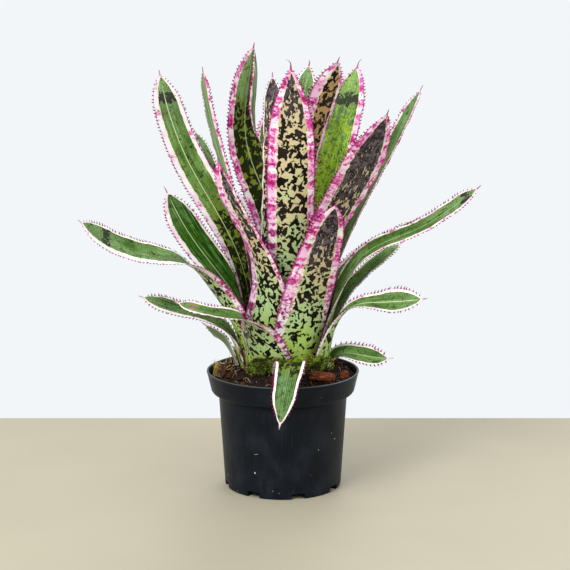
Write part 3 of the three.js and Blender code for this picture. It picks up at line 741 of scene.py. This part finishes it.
def blade_swell(form, shares, rng):
    """How far the sheet of the blade stands out of its plain form: keel, ruffled margins, soft waves."""
    along = form.s * form.length
    sideways = shares[None, :] * form.half[:, None]
    free = ramp(form.s, 0.3, 0.6) * ramp(form.s, 1.0, 0.93)
    keel = -KEEL_DEPTH * np.exp(-(sideways / KEEL_HALF_WIDTH) ** 2) * ramp(form.s, 0.98, 0.8)[:, None]
    ruffle = np.zeros_like(sideways)
    for side in (-1, 1):
        phase, pitch = rng.uniform(0, SHORT_TURN), rng.uniform(19, 27)
        second, finer = rng.uniform(0, SHORT_TURN), rng.uniform(8.5, 11)
        wave = (BROAD_RUFFLE * np.sin(along * SHORT_TURN / pitch + phase)
                + FINE_RUFFLE * np.sin(along * SHORT_TURN / finer + second))
        reach = np.clip(side * shares, 0, 1) ** 3
        ruffle += (wave * free)[:, None] * reach[None, :]
    drift = SOFT_WAVE * np.sin(along / rng.uniform(14, 20) + rng.uniform(0, SHORT_TURN)) * free
    lean = np.sin(shares * 2.2 + rng.uniform(-1, 1))
    return keel + ruffle + drift[:, None] * lean[None, :]


# The leaves' UV map: upper face, under face, end caps and thorns side by side, the base at the bottom
UV_BORDER = 0.01
UV_FACE_WIDTH = 0.46
UV_UNDER = 0.49
UV_CAPS = 0.96
UV_THORNS = 0.98
UV_THORN_HALF_WIDTH = 0.012
UV_DOT = 0.004


def uv_height(s):
    return UV_BORDER + (1 - 2 * UV_BORDER) * s


def uv_dot(count, u, v, half_width=UV_DOT):
    """A small round patch of the UV map for a face with count corners."""
    spin = np.linspace(0, TURN, count, endpoint=False)
    return np.stack([u + half_width * np.cos(spin), v + UV_DOT * np.sin(spin)], -1)


def cells(grid):
    """The four corners of every cell of a grid, in order round the cell."""
    corners = np.stack([grid[:-1, :-1], grid[1:, :-1], grid[1:, 1:], grid[:-1, 1:]], 2)
    return corners.reshape(-1, 4, *grid.shape[2:])


def layered(*layers):
    """Rows of one value from each layer."""
    return np.stack(np.broadcast_arrays(*layers), -1).reshape(-1, len(layers))


def leaf_blade(form, rng):
    """The closed blade: points, faces, corner UVs and the places that the material reads."""
    m = COLUMNS
    rows = len(form.s)
    shares = form.shares
    rounding = np.sqrt(np.clip(1 - np.abs(shares) ** 9, 0, 1))
    thick = LEAF_HALF_THICKNESS + (LEAF_EDGE_HALF_THICKNESS - LEAF_HALF_THICKNESS) * np.abs(shares)
    thin_tip = TIP_THINNING + (1 - TIP_THINNING) * ramp(form.s, 1.0, 0.95)
    thickness = (thick * rounding)[None, :] * thin_tip[:, None]
    swell = blade_swell(form, shares, rng)
    upper = form.points(swell + thickness)
    under = form.points(swell - thickness)[:, 1:-1]
    points = np.concatenate([upper, under], axis=1).reshape(-1, 3)

    start = np.arange(rows)[:, None] * 2 * m
    upper_ids = start + np.arange(m + 1)
    under_ids = start + np.concatenate([[0], np.arange(m + 1, 2 * m), [m]])
    v = uv_height(form.s)
    faces = []
    corners = []
    for ids, left, order in ((upper_ids, UV_BORDER, 1), (under_ids, UV_UNDER, -1)):
        u = left + UV_FACE_WIDTH * (shares + 1) / 2
        spots = np.stack(np.broadcast_arrays(u, v[:, None]), -1)
        faces.extend(map(tuple, cells(ids)[:, ::order].tolist()))
        corners.append(cells(spots)[:, ::order].reshape(-1, 2))
    for row, order in ((0, 1), (rows - 1, -1)):
        cap = np.concatenate([upper_ids[row], under_ids[row][1:-1][::-1]])[::order]
        faces.append(tuple(cap.tolist()))
        corners.append(uv_dot(len(cap), UV_CAPS, v[row]))

    every = np.concatenate([shares, shares[1:-1]])
    first, second = form.figures["margins"]
    usual = 2 * MARGIN_SHARE * (0.35 * form.full + 0.65 * form.half) * (0.5 + 0.5 * ramp(form.s, 0.12, 0.45))
    flared = first * (1 + form.figures["flare"] * ramp(form.s, 0.5, 0.75))
    to_first = (1 + every)[None, :] * (form.half / (usual * flared))[:, None]
    to_second = (1 - every)[None, :] * (form.half / (usual * second))[:, None]
    to_tip = (np.maximum(form.blade_end - form.s, 0) * form.length / usual)[:, None]
    rim = np.minimum(np.minimum(to_first, to_second), to_tip)
    under_flag = np.concatenate([np.zeros(m + 1), np.ones(m - 1)])
    place = layered(every[None, :] * form.half[:, None], (form.s * form.length)[:, None], rim)
    spread = layered(every, form.s[:, None], under_flag)
    return points, faces, np.concatenate(corners), place, spread


def spine_shape(point, outward, normal, forward, length, breadth):
    """A curved thorn on a broad base: points and faces."""
    sides = SPINE_SIDES
    turn = (np.arange(sides) * TURN / sides)[:, None]
    rings = []
    for reach, size in SPINE_RINGS:
        centre = point + outward * (reach * length) + forward * (0.55 * length * max(reach, 0) ** 1.6)
        rings.append(centre + np.cos(turn) * forward * breadth * size
                     + np.sin(turn) * normal * SPINE_THICKNESS * size)
    tip = point + outward * length * 0.9 + forward * 0.6 * length
    points = np.concatenate([*rings, tip[None]])
    faces = []
    for row in range(len(rings) - 1):
        faces.extend((a, d, c, b) for a, b, c, d in ring_faces(row * sides, (row + 1) * sides, sides))
    last = (len(rings) - 1) * sides
    apex = len(rings) * sides
    faces.extend((last + k, apex, last + (k + 1) % sides) for k in range(sides))
    faces.append(tuple(range(sides)))
    return points, faces


def tail_path(form, rng):
    """The dry hair that the cusp ends in, curling off to one side."""
    length, curl = form.figures["tail"]
    step = (length + HAIR_ROOT) / HAIR_STEPS
    point = form.midrib[-1] - form.along[-1] * HAIR_ROOT
    heading = form.along[-1]
    sideways = form.across[-1] + form.upper[-1] * rng.uniform(-0.4, 0.4)
    path = [point]
    for k in range(HAIR_STEPS):
        heading = unit(heading + sideways * curl * (0.4 + k / HAIR_STEPS))
        point = point + heading * step
        path.append(point)
    return np.array(path)


def build_leaf(figures, index, material):
    """A whole leaf: blade, spines along both margins and the hair at its tip."""
    rng = random.Random(LEAF_SEED + index)
    form = LeafForm(figures)
    blade, faces, corners, place, spread = leaf_blade(form, rng)
    shift = PATTERN_SHIFT * (index + 1)
    place[:, 1] += shift
    points, corners, place, spread = [blade], [corners], [place], [spread]
    horn = [np.zeros(len(blade))]
    count = len(blade)

    def attach(shape, shape_faces, s, hardness):
        nonlocal count
        faces.extend(tuple(count + i for i in face) for face in shape_faces)
        for face in shape_faces:
            corners.append(uv_dot(len(face), UV_THORNS, uv_height(s), UV_THORN_HALF_WIDTH))
        points.append(shape)
        sharp = np.linspace(0, 1, len(shape)) ** 1.5
        place.append(layered(0.0, s * form.length + shift, sharp))
        spread.append(np.tile((0.0, s, 0.0), (len(shape), 1)))
        horn.append(np.full(len(shape), hardness))
        count += len(shape)

    for side in (-1, 1):
        reach = form.length * rng.uniform(0.1, 0.12) + FIRST_SPINE
        while reach < form.length * form.blade_end - LAST_SPINE_GAP:
            s = reach / form.length
            row = int(np.searchsorted(form.s, s))
            size = (0.55 + 0.45 * ramp(s, 0.08, 0.3)) * (1 - 0.4 * ramp(s, 0.88, 0.99))
            length = SPINE_LENGTH * figures["spines"] * size * rng.uniform(0.8, 1.15)
            point, outward, normal = form.edge(row, side)
            forward = form.along[row] + outward * rng.uniform(-0.2, 0.2) * 0.5
            attach(*spine_shape(point, outward, normal, forward, length, 0.7 * size + 0.2), s, HORN)
            reach += SPINE_PITCH * rng.uniform(0.84, 1.16)
    radii = np.linspace(*HAIR_RADII, HAIR_STEPS + 1)
    hair = tube(tail_path(form, rng), radii, HAIR_SIDES, flat_axis=form.upper[-1])
    attach(*hair, HAIR_SHARE, HAIR)

    def everywhere(*keys):
        return np.tile([figures[key] for key in keys], (count, 1)).astype(float)

    spread = np.concatenate(spread)
    look = everywhere("pink", "gloom", "slate")
    look[:, 0] += figures["blush"] * ramp(spread[:, 1], 0.55, 0.35)
    extra = np.column_stack([np.concatenate(horn), everywhere("deep", "band")])
    attributes = {
        "leaf_place": np.concatenate(place),
        "leaf_spread": spread,
        "leaf_look": look,
        "leaf_tone_and_highlight": everywhere("warm", "tan", "rib"),
        "leaf_extra": extra,
        "leaf_plain": np.column_stack([everywhere("plain", "dry"), np.zeros(count)]),
    }
    name = figures["name"]
    piece = make_piece(name + "_blade", np.concatenate(points), faces, material,
                       uv=np.concatenate(corners), attributes=attributes)
    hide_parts(name)


# Pot

POT_PROFILE = [
    (0, 0), (14, 0), (15.5, 2.4), (41.9, 2.4), (43.4, 0.3), (43.8, 0), (48.6, 0), (49.5, 0.3),
    (49.95, 1.2), (54.8, 78.2), (55.1, 79.3), (56.2, 80), (60.2, 82.6), (61.2, 84), (61.7, 86.2),
    (64.55, 98.6), (64.9, 99.2), (65, 99.8), (64.85, 100.3), (64.4, 100.5), (63.6, 100.5),
    (63.2, 100.2), (62.95, 99.4), (60.35, 86.9), (59.4, 84.8), (58.2, 83.7), (55.3, 81.5),
    (53.9, 80.6), (53.5, 79.4), (49.0, 5.2), (48.4, 4.2), (47.4, 4), (0, 4),
]
POT_STEP = 2.2
POT_SEGMENTS = 224
POT_SEED = 5
NOTCH_COUNT = 8
NOTCH_SIZE = (15, 11.5, 10)
NOTCH_RADIUS = 49.9
FIRST_NOTCH_AZIMUTH = -75
CRISP_ANGLE = 32


def build_pot(material):
    """The moulded pot, a little out of round, with the notches cut into its foot."""
    points, faces = lathe(refined(POT_PROFILE, POT_STEP), POT_SEGMENTS)
    rng = random.Random(POT_SEED)
    waves = [(rng.randint(2, 7), rng.uniform(0, SHORT_TURN), rng.uniform(0.03, 0.09)) for _ in range(5)]
    turn = np.arctan2(points[:, 1], points[:, 0])
    radius = np.hypot(points[:, 0], points[:, 1])
    give = sum(size * np.sin(count * turn + phase) for count, phase, size in waves)
    give *= ramp(points[:, 2], 30, 100)
    points[:, :2] *= (1 + give / np.maximum(radius, 20))[:, None]
    piece = make_piece("pot_shell", points, faces, material)
    for k in range(NOTCH_COUNT):
        azimuth = math.radians(FIRST_NOTCH_AZIMUTH + k * 360 / NOTCH_COUNT)
        bpy.ops.mesh.primitive_cube_add(size=1)
        cutter = bpy.context.object
        cutter.scale = [size * MM for size in NOTCH_SIZE]
        cutter.location = (NOTCH_RADIUS * math.cos(azimuth) * MM, NOTCH_RADIUS * math.sin(azimuth) * MM, 0)
        cutter.rotation_euler[2] = azimuth
        bpy.context.view_layer.update()
        cut = piece.modifiers.new("notch", "BOOLEAN")
        cut.operation = "DIFFERENCE"
        cut.object = cutter
        bpy.context.view_layer.objects.active = piece
        bpy.ops.object.modifier_apply(modifier=cut.name)
        bpy.data.objects.remove(cutter)
    keep_crisp(piece, math.radians(CRISP_ANGLE))
    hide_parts("pot")


def keep_crisp(piece, limit):
    """Marks edges sharper than the angle, so that they stay crisp in smooth shading."""
    form = bmesh.new()
    form.from_mesh(piece.data)
    for edge in form.edges:
        edge.smooth = edge.calc_face_angle(math.pi) < limit
    form.to_mesh(piece.data)
    form.free()


# Potting mix

MIX_RADIUS = 61.5
MIX_TOP = [(0, 106), (40, 104.4), (44.2, 104.9), (47.2, 105.5), (51, 101.2), (56, 97.2), (MIX_RADIUS, 95)]
MIX_SIDE = [(0, 4.3), (46.7, 4.3), (48.1, 5.6), (53.2, 79.8), (54.8, 81.6), (58.2, 84.1), (59.9, 86.9)]
MIX_SEGMENTS = 150
MIX_RINGS = 60
CRUMB_SEED = 11
CRUMB_RING = (38, 60)
ROOT_COUNT = 70
ROOT_STEPS = 11
ROOT_RING = (42, 58)
WALL_CLEARANCE_RADIUS = 60.5


def mix_height(x, y):
    """Height of the mix's surface: banked up to the plant and lumpy."""
    radius = math.hypot(x, y)
    height = float(np.interp(radius, *zip(*MIX_TOP)))
    broad = noise.noise(Vector((x / 9, y / 9, 3.1))) * 1.6
    fine = noise.noise(Vector((x / 3.2, y / 3.2, 7.7))) * 0.7
    return height + (broad + fine) * (1 - float(ramp(radius, 59.5, MIX_RADIUS)))


def build_mix(material):
    """The bed of mix, down to the pot's floor."""
    top = [(r, 0) for r in np.linspace(MIX_RADIUS, 1.2, MIX_RINGS)]
    points, faces = lathe([*refined(MIX_SIDE, 6), *top, (0, 0)], MIX_SEGMENTS)
    first_top = len(points) - 1 - len(top) * MIX_SEGMENTS
    for i in range(first_top, len(points)):
        points[i, 2] = mix_height(points[i, 0], points[i, 1])
    piece = make_piece("potting_mix_body", points, faces, material)
    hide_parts("potting_mix")


def rough_ball(shape, rng, stretch, bumpiness):
    """A copy of a ball, pulled to the half sizes in stretch and made lumpy."""
    points, faces = shape
    shift = Vector((rng.uniform(0, 90), rng.uniform(0, 90), rng.uniform(0, 90)))
    swell = np.array([noise.noise(Vector(p) * 1.6 + shift) for p in points])
    return points * (1 + bumpiness * swell)[:, None] * np.asarray(stretch), faces


def scatter_on_mix(rng, inner, outer):
    """A random spot on the mix between two radii."""
    radius = math.sqrt(rng.uniform(inner ** 2, outer ** 2))
    turn = rng.uniform(0, TURN)
    x, y = radius * math.cos(turn), radius * math.sin(turn)
    return np.array([x, y, mix_height(x, y)])


def build_crumbs(materials):
    """Peat crumbs, bark bits, white grit, and fine roots that lie on the mix."""
    coarse, fine = ball(1), ball(2)
    rng = random.Random(CRUMB_SEED)
    for name, count, sizes, form, key, sink in (
        ("mix_crumbs", 2600, (0.5, 1.5), coarse, "crumb", 0.1),
        ("mix_bark_bits", 240, (1.2, 3.4), fine, "bark_bit", 0.2),
        ("mix_grit", 60, (0.35, 0.8), coarse, "grit", 0.3),
    ):
        heap = Heap()
        for _ in range(count):
            size = rng.uniform(*sizes)
            stretch = (size, size * rng.uniform(0.45, 0.9), size * rng.uniform(0.3, 0.7))
            points, faces = rough_ball(form, rng, stretch, 0.55)
            turns = rng.uniform(0, SHORT_TURN), rng.uniform(-0.5, 0.5), rng.uniform(-0.5, 0.5)
            points = turned(points, *turns)
            spot = scatter_on_mix(rng, *CRUMB_RING)
            lift = size * 0.3 * (1 - sink) + 0.2
            heap.add(points + spot + (0, 0, lift), faces, (rng.random(), rng.random(), 0))
        heap.piece(name, materials[key], "potting_mix", smooth=False)
    roots = Heap()
    for _ in range(ROOT_COUNT):
        spot = scatter_on_mix(rng, *ROOT_RING)
        heading = rng.uniform(0, SHORT_TURN)
        length = rng.uniform(4, 11)
        path = []
        for k in range(ROOT_STEPS + 1):
            heading += rng.uniform(-0.3, 0.3)
            spot = spot + np.array([math.cos(heading), math.sin(heading), 0]) * length / ROOT_STEPS
            if math.hypot(spot[0], spot[1]) > WALL_CLEARANCE_RADIUS:
                break
            arch = 1.6 * math.sin(math.pi * k / ROOT_STEPS) * rng.uniform(0.8, 1)
            path.append((spot[0], spot[1], mix_height(spot[0], spot[1]) + 0.4 + arch))
        if len(path) > 4:
            points, faces = tube(path, np.linspace(0.22, 0.08, len(path)), 5)
            roots.add(points, faces, (rng.random(), 0, 0))
    roots.piece("mix_roots", materials["root"], "potting_mix")


# Loose pieces: the same half sizes, places and turns as in the CAD model

LOOSE = [
    dict(name="bark_chip_right", half=(12, 4.2, 3.8), at=(32, -43, 105), turn=10, tilt=5, look="bark"),
    dict(name="bark_chip_far_right", half=(4.5, 3.5, 4), at=(52, -21, 100), turn=65, tilt=-8, look="bark"),
    dict(name="bark_chip_front", half=(4, 3.2, 4), at=(-7, -51, 103), turn=-20, tilt=6, look="red_bark"),
    dict(name="peat_lump_left", half=(8, 7, 7), at=(-46, -24, 104.5), turn=30, tilt=-6, look="peat"),
    dict(name="dry_husk_left", half=(2.5, 2.2, 6.5), at=(-56.3, -9, 102), turn=10, tilt=10, look="husk"),
]
CHIP_SEED = 40
FIBRE_COUNTS = {"peat": 90, "husk": 14}
FIBRE_STEPS = 7
FIBRE_STEP = 1.1
BLOCKINESS = 0.72


def build_loose(chip, index, materials):
    """A loose piece: blocky and lumpy, ridged along its length, with fibres on peat and husk."""
    rng = random.Random(CHIP_SEED + index)
    sphere, faces = ball(5)
    shift = Vector((index * 17.0, 5.0, 2.0))
    half = np.array(chip["half"], float)
    points = np.sign(sphere) * np.abs(sphere) ** BLOCKINESS * half
    swell = []
    for p in points:
        long_grain = noise.noise(Vector((p[0] * 0.1, p[1] * 0.75, p[2] * 0.75)) + shift)
        lumps = noise.noise(Vector(p) * 0.28 + shift)
        pits = noise.noise(Vector(p) * 1.1 + shift)
        swell.append(0.16 * long_grain + 0.16 * lumps + 0.06 * pits)
    points = points * (0.97 + np.array(swell))[:, None]
    grain = points + index * 31.0
    points = turned(points, math.radians(chip["turn"]), math.radians(chip["tilt"])) + np.array(chip["at"])
    piece = make_piece(chip["name"] + "_form", points, faces, materials[chip["look"]],
                       attributes={"grain": grain})
    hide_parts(chip["name"])
    if chip["look"] in FIBRE_COUNTS:
        fibres = Heap()
        for _ in range(FIBRE_COUNTS[chip["look"]]):
            offset = drawn(rng, (0, 0.55), (0, 0.55), (0, 0.5))
            offset[2] = abs(offset[2])
            centre = np.array(chip["at"]) + offset * half
            heading = unit(drawn(rng, (0, 1), (0, 1), (0.3, 0.5)))
            path = []
            for _ in range(FIBRE_STEPS):
                heading = unit(heading + drawn(rng, *[(0, 0.2)] * 3))
                centre = centre + heading * FIBRE_STEP
                path.append(centre)
            strand, strand_faces = tube(path, np.linspace(0.2, 0.07, FIBRE_STEPS), 4)
            fibres.add(strand, strand_faces, (rng.random(), 0, 0))
        fibres.piece(chip["name"] + "_fibres", materials["root"], SLOTS[chip["name"]])


# Stem base: a short cone ringed with leaf scars, hidden by the sheaths

STEM_PROFILE = [(0, 86.3), (37.5, 86.3), (40.4, 90), (40.4, 94), (5, 118.8), (0, 120)]
STEM_SHOULDER = 94
STEM_STEP = 1.2
STEM_SEGMENTS = 120


def build_stem(material):
    points, faces = lathe(refined(STEM_PROFILE, STEM_STEP), STEM_SEGMENTS)
    turn = np.arctan2(points[:, 1], points[:, 0])
    radius = np.hypot(points[:, 0], points[:, 1])
    scars = np.sin(radius * 1.9 + 0.5 * np.sin(3 * turn) + 0.3 * np.sin(7 * turn))
    points[:, 2] += np.where(points[:, 2] > STEM_SHOULDER, 0.25 * scars - 0.3, 0)
    piece = make_piece("stem_base_form", points, faces, material,
                       attributes={"grain": points * (0.3, 0.3, 1.0)})
    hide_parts("stem_base")


# Moss: two cushions of small leaflets, and leaflets that creep over the foot of the sheaths

MOSS = [
    dict(name="moss_front_left", at=(-20, -45, 114), half=(7.6, 3.4, 6.4), turn=-18, count=1200),
    dict(name="moss_front_right", at=(28.5, -36.5, 114), half=(6.6, 3.4, 6.4), turn=36, count=1100),
]
MOSS_SEED = 70
# The cushions' leaflets are drawn darker than the creeping leaflets
CUSHION_LIGHTNESS = 0.55
CUSHION_CORE = 0.9
MOSS_CREEP = [
    ((4, -50.5, 119.5), (13, 1.6, 3.2), 4, 900),
    ((-11, -46.5, 118), (5, 2, 6), -22, 420),
    ((20, -44.5, 118.5), (6, 1.8, 5), 24, 420),
    ((-27, -38, 110), (4, 3, 5), -50, 300),
    ((38, -27, 112), (3, 4, 6), 55, 300),
]
CREEP_SEED = 79


def leaflets(heap, rng, centre, half, turn, count, lightness=1.0):
    """Small pointed leaflets that cover the upper and outer side of a cushion."""
    for _ in range(count):
        direction = unit(drawn(rng, (0, 1), (-0.35, 1), (0.35, 1)))
        seat = turned((direction * np.asarray(half) * rng.uniform(0.75, 1.02))[None], math.radians(turn))[0]
        outward = unit(turned((direction / np.asarray(half))[None], math.radians(turn))[0])
        heading = unit(outward + drawn(rng, (0, 0.5), (0, 0.5), (0.35, 0.4)))
        length = rng.uniform(1.0, 2.3)
        bend = drawn(rng, *[(0, 0.3)] * 3)
        root = np.asarray(centre) + seat
        path = [root + heading * length * t + bend * length * t * t * 0.5 for t in (0, 0.35, 0.7, 1)]
        width = rng.uniform(0.28, 0.42)
        points, faces = tube(path, [width * 0.6, width, width * 0.7, 0.05], 4, 0.35, outward)
        heap.add(points, faces, (lightness * rng.random(), rng.random(), 0))


def build_moss(material):
    sphere, sphere_faces = ball(3)
    for index, cushion in enumerate(MOSS):
        rng = random.Random(MOSS_SEED + index)
        heap = Heap()
        core = turned(sphere * (np.array(cushion["half"]) * CUSHION_CORE), math.radians(cushion["turn"]))
        heap.add(core + np.array(cushion["at"]), sphere_faces, (0.1, 0, 0))
        leaflets(heap, rng, cushion["at"], cushion["half"], cushion["turn"], cushion["count"], CUSHION_LIGHTNESS)
        piece = heap.piece(cushion["name"] + "_cushion", material, "moss")
        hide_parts(cushion["name"])
    rng = random.Random(CREEP_SEED)
    heap = Heap()
    for centre, half, turn, count in MOSS_CREEP:
        leaflets(heap, rng, centre, half, turn, count)
    heap.piece("moss_creeping", material, "moss")


# Stage: table top, camera and soft light

TABLE_SIDE = 2600
TABLE_BACK_EDGE = 203
TABLE_DEPTH = 30
CAMERA_PLACE = (1.74, -1300, 423)
CAMERA_PITCH_DOWN = 10.85
CAMERA_LENS = 98.7


def place_in_scene(name, data, location=(0, 0, 0)):
    """A new object in the scene, at a place in mm."""
    thing = bpy.data.objects.new(name, data)
    thing.location = Vector(location) * MM
    bpy.context.scene.collection.objects.link(thing)
    return thing


def build_stage():
    """A pale table top whose back edge shows behind the pot, and even light from all round."""
    corners = [(x, y, z) for x in (-TABLE_SIDE, TABLE_SIDE) for y in (-TABLE_SIDE, TABLE_BACK_EDGE)
               for z in (-TABLE_DEPTH, 0)]
    faces = [(0, 1, 3, 2), (4, 6, 7, 5), (0, 4, 5, 1), (2, 3, 7, 6), (0, 2, 6, 4), (1, 5, 7, 3)]
    mesh = bpy.data.meshes.new("table_top")
    mesh.from_pydata((np.array(corners, float) * MM).tolist(), [], faces)
    mesh.materials.append(table_material())
    table = place_in_scene("table_top", mesh)

    world = bpy.data.worlds.new("studio")
    world.use_nodes = True
    background = world.node_tree.nodes["Background"]
    background.inputs["Color"].default_value = srgb("#f3f6f9")
    background.inputs["Strength"].default_value = 1.0
    bpy.context.scene.world = world


def add_light(name, place, target, size, power):
    lamp = bpy.data.lights.new(name, "AREA")
    lamp.shape = "DISK"
    lamp.size = size * MM
    lamp.energy = power
    holder = place_in_scene(name, lamp, place)
    aim = Vector(target) * MM - holder.location
    holder.rotation_euler = aim.to_track_quat("-Z", "Y").to_euler()


def build_camera():
    data = bpy.data.cameras.new("photo_camera")
    data.sensor_width = 36
    data.lens = CAMERA_LENS
    camera = place_in_scene("photo_camera", data, CAMERA_PLACE)
    camera.rotation_euler = (math.radians(90 - CAMERA_PITCH_DOWN), 0, 0)
    bpy.context.scene.camera = camera


# The scene

build_camera()
build_stage()
add_light("key_light", (-900, -1300, 1500), (0, 0, 200), 900, 36)
add_light("fill_light", (1300, -900, 900), (0, 0, 200), 1100, 8)
add_light("back_light", (300, 1300, 1500), (0, 0, 250), 900, 12)
bpy.context.scene.view_settings.view_transform = "Standard"

leaf_look = leaf_material()
for number, figures in enumerate(LEAVES):
    build_leaf(figures, number, leaf_look)

looks = {
    "crumb": crumb_material("peat_crumbs", "#090504", "#35200f"),
    "bark_bit": crumb_material("bark_bits", "#100804", "#552c14"),
    "grit": crumb_material("white_grit", "#8f8a80", "#e4e0d4"),
    "root": crumb_material("fine_roots", "#6b4f30", "#d8c49a", 0.7),
    "bark": bark_material("bark", "#180903", "#5e2c10", "#a85c26", (0.12, 0.8, 0.8)),
    "red_bark": bark_material("red_bark", "#130604", "#40180c", "#6c3320", (0.2, 0.6, 0.6)),
    "peat": bark_material("peat", "#150b05", "#3f2711", "#70491f", (0.3, 0.9, 0.9)),
    "stem": bark_material("stem", "#1c1409", "#4a3a20", "#7a6a44", (0.9, 0.9, 0.4)),
    "husk": bark_material("husk", "#4a3a10", "#8f7a24", "#c4ae56", (0.9, 0.9, 0.12)),
}
build_mix(mix_material())
build_crumbs(looks)
for number, chip in enumerate(LOOSE):
    build_loose(chip, number, looks)
build_stem(looks["stem"])
build_moss(moss_material())
build_pot(pot_material())
